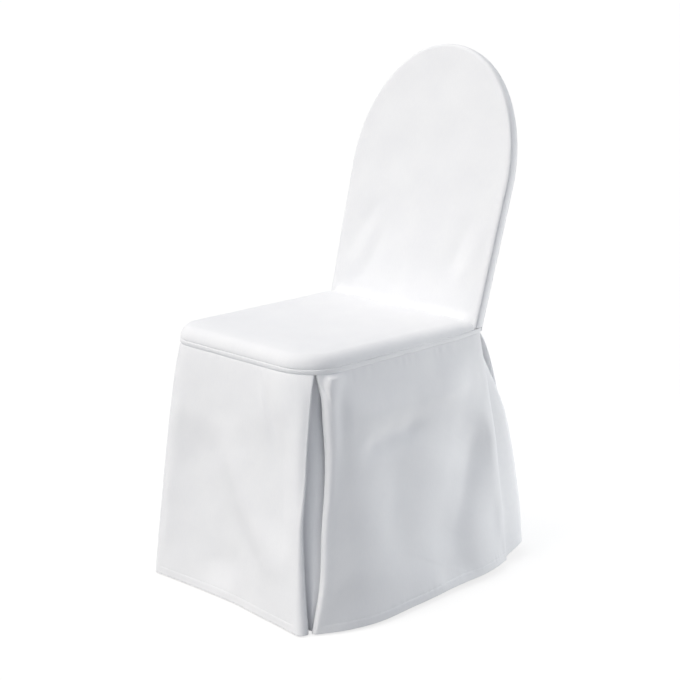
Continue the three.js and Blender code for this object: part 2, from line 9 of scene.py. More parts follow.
import bmesh
import bpy
import numpy as np
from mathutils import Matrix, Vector


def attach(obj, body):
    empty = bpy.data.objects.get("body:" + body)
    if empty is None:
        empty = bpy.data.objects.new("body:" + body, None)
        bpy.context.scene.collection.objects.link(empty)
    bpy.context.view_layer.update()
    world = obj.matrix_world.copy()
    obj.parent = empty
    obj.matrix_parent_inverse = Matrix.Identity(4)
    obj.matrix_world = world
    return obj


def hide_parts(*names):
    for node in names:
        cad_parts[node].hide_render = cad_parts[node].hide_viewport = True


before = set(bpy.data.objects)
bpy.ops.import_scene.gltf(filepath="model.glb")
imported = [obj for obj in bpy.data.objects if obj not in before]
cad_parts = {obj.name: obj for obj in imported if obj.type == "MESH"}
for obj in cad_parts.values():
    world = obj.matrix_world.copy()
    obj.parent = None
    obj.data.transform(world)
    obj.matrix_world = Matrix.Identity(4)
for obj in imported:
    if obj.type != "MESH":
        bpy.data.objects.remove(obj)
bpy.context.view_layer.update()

MM = 0.001

# Heights above the floor, and the flattened cord in the waist seam
SEAT_UNDERSIDE = 480.0
SEAT_TOP = 481.0
BACK_FOOT_HEIGHT = 470.0
WELT_HEIGHT = 448.5
WELT = {"half_height": 4.4, "half_thickness": 1.3, "proud": 0.2}
SEAM_GAP = 0.4
BODY_EDGE = WELT_HEIGHT + WELT["half_height"] + SEAM_GAP
SKIRT_EDGE = WELT_HEIGHT - WELT["half_height"] - SEAM_GAP

# Waist seam seen from above: corners (x, y, rounding) from the right front corner round by the rear
WAIST_CORNERS = [
    (188.5, -208.0, 75.0), (189.0, 100.0, 300.0), (194.5, 212.0, 20.0), (194.0, 228.0, 10.0),
    (-194.0, 228.0, 10.0), (-194.5, 212.0, 20.0), (-189.0, 100.0, 300.0), (-188.5, -208.0, 55.0),
]

# How far the waist seam climbs from the front corners to the rear, as (y, climb)
SEAM_CLIMB = [(-150.0, 0.0), (0.0, 2.0), (100.0, 4.0), (170.0, 6.0), (215.0, 10.0), (240.0, 10.5)]

# Seat panel
SEAT_EDGE = {"width": 19.0, "rise": 23.0}
SEAT_CROWN_WIDTH = 48.0
SEAT_CREASE = {"start": 170.0, "dip": 5.0}
SEAT_REAR = 203.0
SEAT_SPINE_FRONT = -90.0
SEAT_RINGS = {"reach": 52.0, "power": 1.8, "count": 26}
SEAT_HALF_STEPS = 210
SEAT_MIDDLE_STEPS = 11
SEAT_WAVES = {"start": (20.0, 80.0), "share": 0.8, "shift": 2.1}
SEAT_REAR_BEND = {"back": 3.2, "down": 5.0}

# Back
BACK_FOOT = 208.0
BACK_LEAN = math.radians(15.3)
BACK_THICKNESS = 25.0
BACK_FOOT_HALF_WIDTH = 194.5
BACK_HALF_WIDTH = 202.0
BACK_SHOULDER = 265.0
BACK_LENGTH = 511.0
BACK_SPINE_TOP = 300.0
EDGE_ROLL = {"width": 6.0, "depth": 2.5}
BAND_BULGE = 1.2
FILLET = {"reach": 16.0, "forward": 6.0, "starts": (6.0, 34.0)}
FACE_INSET = 1.0
BACK_STEPS = {"along": 460, "inward": 60, "power": 1.7, "band": 520, "band_across": 9, "arch": 400}
BACK_SETTLE = 60.0
BACK_EDGE_CALM = 30.0
BACK_SEAM_CALM = 3.0
BAND_GIRTH = 1340.0
BACK_SHIFTS = {"inside": 0.6, "outside": 1.9}

# Skirt
# Where each pleat starts on the waist seam (x, y), and how far the panels beside it stop short
PLEATS = {
    "front_right": ((173.5, -178.2), 4.2),
    "rear_right": ((191.0, 225.0), 6.2),
    "rear_left": ((-191.0, 225.0), 6.2),
    "front_left": ((-180.0, -184.0), 4.2),
}
FLARE_START = 0.02
SHIFT_REACH = 0.3
HEM = {"depth": 14.0, "proud": 0.3, "groove": 0.3, "step": 1.5, "groove_width": 1.3}

# Cloth
SHEET = 0.8
ALLOWANCE = 6.0

# Cloth turned in at the waist seam, from its raw edge to the seam, as (inward, past the seam), and at the
# edge of the back as (inward, deeper)
WAIST_TURN_IN = np.array([[ALLOWANCE, 3.4], [3.6, 2.3], [1.7, 1.2], [0.5, 0.5]])
BACK_TURN_IN = np.array([[ALLOWANCE, 0.9], [3.4, 0.85], [1.4, 0.7], [0.4, 0.35]])
BACK_FOOT_TURN_IN = np.array([9.0, 6.0, 3.0])
BAND_TURN_IN = [-ALLOWANCE, -3.0, -1.0, -0.25]

# Share of the way past the waist seam that is left at the ends of a skirt panel
END_TURN_IN = 0.25

# Gathers beside the lines of stitches: their pitch, their reach from the line, their height, and where
# the place doesn't give one, their shift
SEAT_GATHERS = {"pitch": 21.0, "reach": 7.0, "height": 0.35, "shift": 0.4}
BACK_GATHERS = {"pitch": 19.0, "reach": 8.0, "height": 0.25}
WAIST_GATHERS = {"pitch": 24.0, "reach": 16.0, "height": 0.5}
HEM_GATHERS = {"pitch": 17.0, "reach": 6.0, "height": 0.25}


def smooth(low, high, value):
    """S-shaped step from 0 at low to 1 at high."""
    t = np.clip((value - low) / (high - low), 0.0, 1.0)
    return t * t * (3.0 - 2.0 * t)


def mix(first, second, share):
    """Straight blend from first to second."""
    return first + (second - first) * share


def curve_through(rows):
    """Cubic curve through (place, value) rows, its slope at a row taken from the rows beside it."""
    place, value = np.array(rows, float).T
    number = np.arange(len(place))
    before = np.maximum(number - 1, 0)
    after = np.minimum(number + 1, len(place) - 1)
    slope = (value[after] - value[before]) / (place[after] - place[before])

    def at(where):
        """Smooth blend of the two rows about a place, with a bend that gives each row its slope."""
        i = np.clip(np.searchsorted(place, where) - 1, 0, len(place) - 2)
        span = place[i + 1] - place[i]
        t = np.clip((where - place[i]) / span, 0.0, 1.0)
        bend = t * (1.0 - t) * (slope[i] * (1.0 - t) - slope[i + 1] * t) * span
        return mix(value[i], value[i + 1], smooth(0.0, 1.0, t)) + bend

    return at


# Places tried for the nearest point of a track
NEAREST_STEPS = 4001


class Track:
    """Close-set points of a line, which gives the point at any distance along it."""

    def __init__(self, points):
        """The distance along the line at each point is the sum of the steps before it."""
        self.points = np.asarray(points, float)
        steps = np.linalg.norm(np.diff(self.points, axis=0), axis=1)
        self.distances = np.concatenate([[0.0], np.cumsum(steps)])
        self.length = self.distances[-1]

    def at(self, distance):
        """Place at a distance along the line, straight between the two points beside it."""
        return np.stack([np.interp(distance, self.distances, axis) for axis in self.points.T], axis=-1)

    def nearest(self, point):
        """Distance along the line of the place nearest to a point, out of close-set places."""
        distance = np.linspace(0.0, self.length, NEAREST_STEPS)
        return distance[np.argmin(np.linalg.norm(self.at(distance) - point, axis=1))]


def rounded_loop(corners, arc_steps=40):
    """Closed track of straight stretches and an arc in each (x, y, radius) corner, from the middle of
    its last side: each arc's centre lies on the corner's bisector, radius over the sine of half its angle."""
    place = np.array([(x, y) for x, y, _ in corners])
    radius = np.array([r for _, _, r in corners])[:, None]
    before = np.roll(place, 1, axis=0) - place
    after = np.roll(place, -1, axis=0) - place
    before /= np.linalg.norm(before, axis=1, keepdims=True)
    after /= np.linalg.norm(after, axis=1, keepdims=True)
    half = np.arccos(np.sum(before * after, axis=1, keepdims=True)) / 2.0
    middle = before + after
    middle /= np.linalg.norm(middle, axis=1, keepdims=True)
    centre = place + middle * radius / np.sin(half)
    start = place + before * radius / np.tan(half) - centre
    end = place + after * radius / np.tan(half) - centre
    first = np.arctan2(start[:, 1], start[:, 0])
    turn = np.arctan2(end[:, 1], end[:, 0]) - first
    turn = (turn + np.pi) % (2.0 * np.pi) - np.pi
    angle = first[:, None] + turn[:, None] * np.linspace(0.0, 1.0, arc_steps)
    arcs = centre[:, None] + radius[:, None] * np.stack([np.cos(angle), np.sin(angle)], axis=-1)
    opening = (place[:1] + place[-1:]) / 2.0
    return Track(np.concatenate([opening, arcs.reshape(-1, 2), opening]))


def curve_in_space(points, steps=60):
    """Centripetal Catmull-Rom track through points: a cubic on each stretch, whose end slopes come from
    the neighbouring points, with the root of each stretch's length as its share of the parameter."""
    inner = np.array(points, float)
    whole = np.concatenate([[2 * inner[0] - inner[1]], inner, [2 * inner[-1] - inner[-2]]])
    p0, p1, p2, p3 = whole[:-3], whole[1:-2], whole[2:-1], whole[3:]
    d0, d1, d2 = (
        np.linalg.norm(end - start, axis=1, keepdims=True) ** 0.5
        for start, end in ((p0, p1), (p1, p2), (p2, p3))
    )
    leave = ((p1 - p0) / d0 - (p2 - p0) / (d0 + d1) + (p2 - p1) / d1) * d1
    arrive = ((p2 - p1) / d1 - (p3 - p1) / (d1 + d2) + (p3 - p2) / d2) * d1
    t = np.linspace(0.0, 1.0, steps)[None, :, None]
    p1, p2, leave, arrive = (row[:, None] for row in (p1, p2, leave, arrive))
    cubic = p1 + leave * t + (3 * (p2 - p1) - 2 * leave - arrive) * t**2
    cubic = cubic + (2 * (p1 - p2) + leave + arrive) * t**3
    return Track(cubic.reshape(-1, inner.shape[1]))


# Share of a crease's line over which it fades out, where its row gives none
CREASE_FADE = 0.35


def crease_rise(x, y, creases):
    """Height of soft ridges and troughs over a flat place (x, y): each is a bell of the distance to its
    bent line, with a breadth for its left and its right side, and fades out towards the line's ends."""
    total = np.zeros(np.broadcast(x, y).shape)
    for crease in creases:
        line = Track(crease["line"])
        nearest = np.full(total.shape, np.inf)
        place = np.zeros(total.shape)
        side = np.zeros(total.shape)
        for start, end, begun in zip(line.points[:-1], line.points[1:], line.distances[:-1]):
            stretch = np.linalg.norm(end - start)
            way = (end - start) / stretch
            along = np.clip((x - start[0]) * way[0] + (y - start[1]) * way[1], 0.0, stretch)
            across = np.stack([x - start[0] - along * way[0], y - start[1] - along * way[1]])
            range_here = np.hypot(*across)
            closer = range_here < nearest
            nearest = np.where(closer, range_here, nearest)
            place = np.where(closer, begun + along, place)
            side = np.where(closer, across[0] * way[1] - across[1] * way[0], side)
        left, right = crease["breadth"]
        bell = np.exp(-((nearest / np.where(side > 0, right, left)) ** 2))
        fade = crease.get("fade", CREASE_FADE) * line.length
        total += crease["rise"] * bell * smooth(0.0, fade, place) * smooth(0.0, fade, line.length - place)
    return total


# Slow unevenness of hanging cloth: plane waves by their wavelength, direction and height
WAVES = [(178.0, 0.3, 0.55), (121.0, 1.9, 0.4), (93.0, 2.6, 0.28), (64.0, 1.1, 0.16), (47.0, 0.5, 0.1)]
FIRST_WAVE_PHASE = 1.7


def unevenness(x, y, shift):
    """Sum of the plane waves over a flat place, each begun at another phase by shift."""
    total = np.zeros(np.broadcast(x, y).shape)
    for number, (length, direction, height) in enumerate(WAVES):
        across = x * math.cos(direction) + y * math.sin(direction)
        total += height * np.sin(2.0 * np.pi * across / length + shift * (number + FIRST_WAVE_PHASE))
    return total


# How gathers vary along their line: their phase wanders by radians, and their height swells about a
# middle, each over a number of pitches
GATHER_WANDER = {"phase": 1.4, "pitches": 3.7}
GATHER_SWELL = {"middle": 0.55, "by": 0.45, "pitches": 5.3}


def puckers(across, below, pitch, reach, height, shift):
    """Small gathers beside a line of stitches: a sine of uneven pitch that dies away from the line."""
    wander = np.sin(2.0 * np.pi * across / (GATHER_WANDER["pitches"] * pitch) + shift)
    phase = 2.0 * np.pi * across / pitch + GATHER_WANDER["phase"] * wander
    swell = np.sin(2.0 * np.pi * across / (GATHER_SWELL["pitches"] * pitch) + 2.0 * shift)
    swell = GATHER_SWELL["middle"] + GATHER_SWELL["by"] * swell
    return height * swell * np.sin(phase) * np.exp(-((below / reach) ** 2))


# Waist seam: it starts at the middle of the front and runs round by the right side
waist = rounded_loop(WAIST_CORNERS)


def waist_at(distance):
    """Place on the waist seam at a distance round it, which starts again after a whole round."""
    return waist.at(np.asarray(distance) % waist.length)


def outward_from(before, after):
    """Level direction a quarter turn to the right of the way from before to after."""
    way = after - before
    out = np.stack([way[..., 1], -way[..., 0]], axis=-1)
    return out / np.linalg.norm(out, axis=-1, keepdims=True)


def waist_outward(distance):
    """Level direction out of the waist seam, from its places a millimetre before and after."""
    return outward_from(waist_at(distance - 1.0), waist_at(distance + 1.0))


seam_climb = curve_through(SEAM_CLIMB)


def seat_height(inset, y):
    """Height of the seat panel: an elliptic rise over its edge, then a crown that dips to the rear crease."""
    turn = np.maximum(0.0, 1.0 - inset / SEAT_EDGE["width"])
    edge = BODY_EDGE + mix(seam_climb(y), SEAT_EDGE["rise"], np.sqrt(1.0 - turn**2))
    crown = SEAT_TOP - BODY_EDGE - SEAT_EDGE["rise"]
    dip = SEAT_CREASE["dip"] * smooth(SEAT_CREASE["start"], BACK_FOOT, y)
    return edge + (crown - dip) * smooth(0.0, SEAT_CROWN_WIDTH, inset)


def seat_panel():
    """Rings inside the waist seam, from a turned-in allowance over the rounded edge to a spine down the
    middle; at the rear the cloth bends down into the crease below the back."""
    right = waist.nearest((BACK_FOOT_HALF_WIDTH, SEAT_REAR))
    left = waist.nearest((-BACK_FOOT_HALF_WIDTH, SEAT_REAR)) - waist.length
    half = np.linspace(0.0, 1.0, SEAT_HALF_STEPS + 1)
    distance = np.concatenate([half[:0:-1] * left, half * right])[None, :]
    share = np.linspace(0.0, 1.0, SEAT_RINGS["count"])[:, None]
    inset = SEAT_RINGS["reach"] * share ** SEAT_RINGS["power"]
    edge = waist_at(distance)
    straight = smooth(SEAT_REAR - SEAT_CROWN_WIDTH, SEAT_REAR, edge[..., 1])[..., None]
    inward = mix(-waist_outward(distance), np.stack([-np.sign(distance), 0 * distance], axis=-1), straight)
    inward /= np.linalg.norm(inward, axis=-1, keepdims=True)

    under_height = BODY_EDGE + seam_climb(edge[..., 1]) - WAIST_TURN_IN[:, 1:]
    under = np.concatenate([edge + inward * WAIST_TURN_IN[:, :1, None], under_height[..., None]], axis=-1)
    plan = edge + inward * inset[..., None]
    height = seat_height(inset, plan[..., 1])
    height = height + puckers(distance, inset, **SEAT_GATHERS)
    rings = np.concatenate([plan, height[..., None]], axis=-1)
    mirrored = np.abs(np.arange(-SEAT_HALF_STEPS, SEAT_HALF_STEPS + 1)) + SEAT_HALF_STEPS
    spine_y = np.maximum(plan[-1, mirrored, 1], SEAT_SPINE_FRONT)
    spine = np.stack([0 * distance[0], spine_y, height[-1, mirrored]], axis=-1)
    middle = mix(rings[-1:], spine[None], np.linspace(0.0, 1.0, SEAT_MIDDLE_STEPS + 1)[1:, None, None])
    grid = np.concatenate([under, rings, middle])

    level = smooth(*SEAT_WAVES["start"], np.linalg.norm(grid[..., :2] - edge, axis=-1))
    waves = unevenness(grid[..., 0], grid[..., 1], SEAT_WAVES["shift"])
    grid[..., 2] += SEAT_WAVES["share"] * waves * level
    bend = np.radians([90.0, 72.0, 54.0, 36.0, 18.0])
    first, last = grid[:, :1], grid[:, -1:]
    back, down = SEAT_REAR_BEND["back"], SEAT_REAR_BEND["down"]
    drop = np.stack([0 * bend, back * np.sin(bend), -down * (1.0 - np.cos(bend))], axis=-1)
    grid = np.concatenate([first + drop, grid, last + drop[::-1]], axis=1)
    return grid[::-1], grid[::-1, :, :2]


# Steps of the cord along and round it, and how much fuller it is above its middle
WELT_STEPS = (560, 17)
WELT_TOP_FULLNESS = 0.25

# Slow sines along it: of its fullness as (share, length, phase), of its height as (height, length)
WELT_SWELLS = [(0.05, 31.0, 0.0), (0.04, 13.7, 1.0)]
WELT_RISE = (0.25, 57.0)


def waist_welt():
    """Flattened cord in the waist seam: an oval, fuller above its middle, carried once round the seat, with
    slow sines of its fullness and its height along the way."""
    distance = np.linspace(0.0, waist.length, WELT_STEPS[0])[:, None]
    turn = np.linspace(0.0, 2.0 * np.pi, WELT_STEPS[1])[None, :]
    swell = 1.0
    for share, length, phase in WELT_SWELLS:
        swell = swell + share * np.sin(distance / length + phase)
    upper = 1.0 + WELT_TOP_FULLNESS * np.sin(turn)
    reach = WELT["proud"] + WELT["half_thickness"] * swell * np.cos(turn) * upper
    rise = WELT["half_height"] * swell * np.sin(turn) + WELT_RISE[0] * np.sin(distance / WELT_RISE[1])
    plan = waist_at(distance) + waist_outward(distance) * reach[..., None]
    height = WELT_HEIGHT + seam_climb(waist_at(distance)[..., 1]) + rise
    grid = np.concatenate([plan, height[..., None]], axis=-1)
    girth = WELT["half_height"] * turn + 0 * distance
    return grid, np.stack([distance + 0 * turn, girth], axis=-1)


def back_point(x, v, depth):
    """Point of the leaning back: x across, v up its slope from the seat, depth behind its front face."""
    y = BACK_FOOT + v * math.sin(BACK_LEAN) + depth * math.cos(BACK_LEAN)
    z = BACK_FOOT_HEIGHT + v * math.cos(BACK_LEAN) - depth * math.sin(BACK_LEAN)
    return np.stack(np.broadcast_arrays(x, y, z), axis=-1)


def back_foot(depth):
    """Place up the slope at which the back meets the waist seam, at a depth."""
    height = BODY_EDGE + seam_climb(BACK_FOOT + depth) - BACK_FOOT_HEIGHT
    return (height + depth * math.sin(BACK_LEAN)) / math.cos(BACK_LEAN)


def back_outline(count, inset):
    """Edge of the back in its own slope, at equal steps: a straight side, half an ellipse and a straight
    side."""
    angle = np.linspace(np.pi, 0.0, BACK_STEPS["arch"])
    across = (BACK_HALF_WIDTH - inset) * np.cos(angle)
    up = BACK_SHOULDER + (BACK_LENGTH - BACK_SHOULDER - inset) * np.sin(angle)
    arch = np.stack([across, up], axis=-1)
    foot = BACK_FOOT_HALF_WIDTH - inset
    edge = Track(np.concatenate([[(-foot, 0.0)], arch, [(foot, 0.0)]]))
    return edge.at(np.linspace(0.0, edge.length, count))


# Creases of the inside back, as lines of (x, v) on the panel
BACK_CREASES = [
    {"line": [(-172, 45), (-148, 126), (-98, 218)], "breadth": (16, 20), "rise": -2.3},
    {"line": [(-160, 30), (-117, 115), (-88, 195)], "breadth": (17, 16), "rise": 1.8},
    {"line": [(-166, 12), (-119, 49), (-93, 96), (-76, 160)], "breadth": (16, 15), "rise": -1.9},
    {"line": [(88, 62), (117, 140), (140, 222)], "breadth": (20, 17), "rise": -2.8},
    {"line": [(112, 40), (152, 113), (172, 200)], "breadth": (17, 20), "rise": 2.3},
    {"line": [(150, 210), (176, 300), (170, 372)], "breadth": (16, 14), "rise": -1.0},
    {"line": [(-60, 16), (0, 22), (70, 14)], "breadth": (16, 20), "rise": 1.2},
]


def lengthened(grid, before, after):
    """Grid with further columns, offset from its first and from its last column."""
    return np.concatenate([grid[:, :1] + before, grid, grid[:, -1:] + after], axis=1)


def back_panel(face_depth, roll, foot_place, creases, fillet, shift):
    """Leaning panel: rows run inward from a turned-in allowance at the arched outline to a spine, the
    edge rolls towards the strip beside it by a squared fall-off, and the foot settles on foot_place."""
    edge = back_outline(BACK_STEPS["along"], FACE_INSET)[None]
    share = (np.linspace(0.0, 1.0, BACK_STEPS["inward"])[:, None] ** BACK_STEPS["power"])[..., None]
    spine = np.stack([0 * edge[..., 0], np.minimum(edge[..., 1], BACK_SPINE_TOP)], axis=-1)
    flat = mix(edge, spine, share)
    inset = np.linalg.norm(flat - edge, axis=-1)
    x, along = flat[..., 0], flat[..., 1]
    v = along + foot_place(x) * (1.0 - smooth(0.0, BACK_SETTLE, along))
    calm = smooth(0.0, BACK_EDGE_CALM, inset)
    relief = crease_rise(x, v, creases) * calm + unevenness(x, v, shift) * calm
    rolled = np.maximum(0.0, 1.0 - inset / EDGE_ROLL["width"]) ** 2 * EDGE_ROLL["depth"]
    stitched = puckers(edge[..., 0] + edge[..., 1], inset, **BACK_GATHERS, shift=shift)
    stitched = stitched * smooth(0.0, BACK_SEAM_CALM, inset)
    above = v - foot_place(x)
    forward = fillet * np.maximum(0.0, 1.0 - above / FILLET["reach"]) ** 2
    forward = forward * smooth(*FILLET["starts"], inset)
    depth = face_depth + roll * (rolled - relief - stitched - forward)

    sideways = np.sign(spine - edge) * np.array([1.0, 0.0])
    downward = np.array([0.0, -1.0]) * (edge[..., 1:] > BACK_SHOULDER)
    toward = sideways + downward
    toward = toward / np.linalg.norm(toward, axis=-1, keepdims=True)
    under = edge + toward * BACK_TURN_IN[:, :1, None]
    under_v = under[..., 1] + foot_place(under[..., 0]) * (1.0 - smooth(0.0, BACK_SETTLE, edge[..., 1]))
    under_depth = depth[:1] + roll * BACK_TURN_IN[:, 1:]
    still = 0 * BACK_FOOT_TURN_IN
    x = lengthened(np.concatenate([under[..., 0], x]), still, still)
    v = lengthened(np.concatenate([under_v, v]), -BACK_FOOT_TURN_IN, -BACK_FOOT_TURN_IN[::-1])
    depth = lengthened(np.concatenate([under_depth, depth]), still, still)
    grid = back_point(x, v, depth)
    uv = np.stack([x, v], axis=-1)
    return (grid[::-1], uv[::-1]) if roll > 0 else (grid, uv)


def inside_back():
    """Panel that is leaned on: it stands on the seat panel and follows its rounded edges down at both
    sides."""

    def foot_place(x):
        """Place up the slope of the seat panel below: its height over the cosine of the lean."""
        inset = np.maximum(0.0, BACK_FOOT_HALF_WIDTH - np.abs(x))
        return (seat_height(inset, BACK_FOOT) + SEAM_GAP - BACK_FOOT_HEIGHT) / math.cos(BACK_LEAN)

    shift = BACK_SHIFTS["inside"]
    return back_panel(FACE_INSET, 1.0, foot_place, BACK_CREASES, FILLET["forward"], shift)


# Creases of the outside back
OUTSIDE_CREASES = [
    {"line": [(-150, 20), (-110, 120), (-60, 200)], "breadth": (22, 18), "rise": 2.0},
    {"line": [(150, 30), (120, 150), (90, 260)], "breadth": (20, 24), "rise": -2.0},
    {"line": [(-120, 300), (0, 330), (120, 310)], "breadth": (30, 30), "rise": 1.2},
]


def outside_back():
    """Rear panel: it reaches down to the waist seam."""
    depth = BACK_THICKNESS - FACE_INSET
    foot = back_foot(depth)
    shift = BACK_SHIFTS["outside"]
    return back_panel(depth, -1.0, lambda x: foot + 0 * x, OUTSIDE_CREASES, 0.0, shift)


def back_edge_strip():
    """Strip over the arch between the two back panels, its allowances turned in and its middle bulged by
    one minus the square of the place across."""
    margin = FACE_INSET + EDGE_ROLL["depth"] + SEAM_GAP + SHEET
    share = np.linspace(0.0, 1.0, BACK_STEPS["band_across"])
    bulge = BAND_BULGE * (1.0 - (2.0 * share - 1.0) ** 2)
    bulge = np.concatenate([BAND_TURN_IN, bulge, BAND_TURN_IN[::-1]])
    turned = len(BAND_TURN_IN)
    depth = mix(margin, BACK_THICKNESS - margin, np.concatenate([[0.0] * turned, share, [1.0] * turned]))
    count = BACK_STEPS["band"]
    edge = np.stack([back_outline(count, FACE_INSET - b) for b in bulge])
    x, along = edge[..., 0], edge[..., 1]
    settle = 1.0 - smooth(0.0, BACK_SETTLE, along)
    v = along + back_foot(depth)[:, None] * settle
    grid = back_point(x, v, depth[:, None])
    girth = np.linspace(0.0, BAND_GIRTH, count)
    uv = np.stack([girth[None] + 0 * x, depth[:, None] + 0 * x], axis=-1)
    return grid, uv


# Where each skirt panel's face starts and ends along the waist seam
pleat_start = {name: waist.nearest(spot) + stop for name, (spot, stop) in PLEATS.items()}
pleat_end = {name: waist.nearest(spot) - stop for name, (spot, stop) in PLEATS.items()}
SPANS = {
    "front": (pleat_start["front_left"] - waist.length, pleat_end["front_right"]),
    "right": (pleat_start["front_right"], pleat_end["rear_right"]),
    "back": (pleat_start["rear_right"], pleat_end["rear_left"]),
    "left": (pleat_start["rear_left"], pleat_end["front_left"]),
}

# Folds and creases of the skirt
FRONT_CREASES = [
    {"line": [(34, 50), (28, 174), (16, 293), (12, 410)], "breadth": (14, 24), "rise": 3.5, "fade": 0.2},
    {
        "line": [(100, 110), (104, 200), (120, 290), (156, 380), (176, 440)],
        "breadth": (54, 64), "rise": -8.0, "fade": 0.22,
    },
    {
        "line": [(160, 90), (185, 170), (228, 250), (300, 320), (356, 366)],
        "breadth": (32, 36), "rise": 7.0, "fade": 0.3,
    },
    {"line": [(256, 16), (276, 69), (298, 134)], "breadth": (14, 10), "rise": 2.0, "fade": 0.4},
    {"line": [(272, 18), (293, 72), (316, 136)], "breadth": (8, 13), "rise": -1.8, "fade": 0.4},
    {"line": [(320, 50), (328, 200), (336, 350)], "breadth": (52, 28), "rise": -9.5, "fade": 0.32},
]
RIGHT_CREASES = [
    {
        "line": [(80, 20), (72, 100), (60, 200), (54, 330), (54, 400)],
        "breadth": (32, 64), "rise": 7.0, "fade": 0.16,
    },
    {"line": [(70, 90), (190, 86), (320, 88), (440, 92)], "breadth": (26, 30), "rise": 5.5, "fade": 0.25},
    {"line": [(70, 148), (140, 141), (210, 136), (300, 128)], "breadth": (22, 18), "rise": -7.0, "fade": 0.3},
    {
        "line": [
            (452, 146), (436, 170), (408, 210), (378, 256), (344, 304), (308, 356), (280, 400), (262, 436),
        ],
        "breadth": (72, 40), "rise": -16.0, "fade": 0.3,
    },
    {"line": [(385, 20), (388, 60), (392, 110)], "breadth": (70, 60), "rise": 4.0, "fade": 0.4},
    {
        "line": [(190, 140), (182, 220), (172, 290), (156, 380)],
        "breadth": (42, 52), "rise": -5.0, "fade": 0.35,
    },
    {"line": [(240, 410), (300, 418), (360, 420)], "breadth": (26, 30), "rise": -5.0, "fade": 0.35},
]
BACK_SKIRT_CREASES = [
    {"line": [(75, 60), (72, 200), (62, 410)], "breadth": (28, 26), "rise": 6.0, "fade": 0.25},
    {"line": [(135, 90), (138, 250), (142, 425)], "breadth": (26, 28), "rise": -5.0, "fade": 0.25},
    {"line": [(215, 70), (222, 220), (232, 415)], "breadth": (32, 30), "rise": 5.0, "fade": 0.25},
    {"line": [(288, 80), (296, 250), (304, 425)], "breadth": (28, 26), "rise": -5.0, "fade": 0.25},
]
LEFT_CREASES = [
    {
        "line": [(40, 70), (85, 140), (125, 210), (160, 290), (185, 360)],
        "breadth": (36, 40), "rise": 7.0, "fade": 0.25,
    },
    {"line": [(22, 150), (45, 220), (80, 290), (120, 370)], "breadth": (28, 30), "rise": -6.0, "fade": 0.25},
    {"line": [(60, 90), (180, 86), (300, 90), (410, 86)], "breadth": (24, 28), "rise": 4.0, "fade": 0.2},
    {
        "line": [(140, 140), (230, 134), (330, 138), (410, 142)],
        "breadth": (22, 22), "rise": -3.5, "fade": 0.25,
    },
    {"line": [(300, 160), (310, 240), (322, 340)], "breadth": (30, 32), "rise": 5.0, "fade": 0.3},
    {"line": [(458, 40), (460, 180), (458, 400)], "breadth": (36, 14), "rise": 5.0, "fade": 0.15},
    {"line": [(390, 60), (392, 200), (395, 400)], "breadth": (30, 34), "rise": -3.0, "fade": 0.2},
]

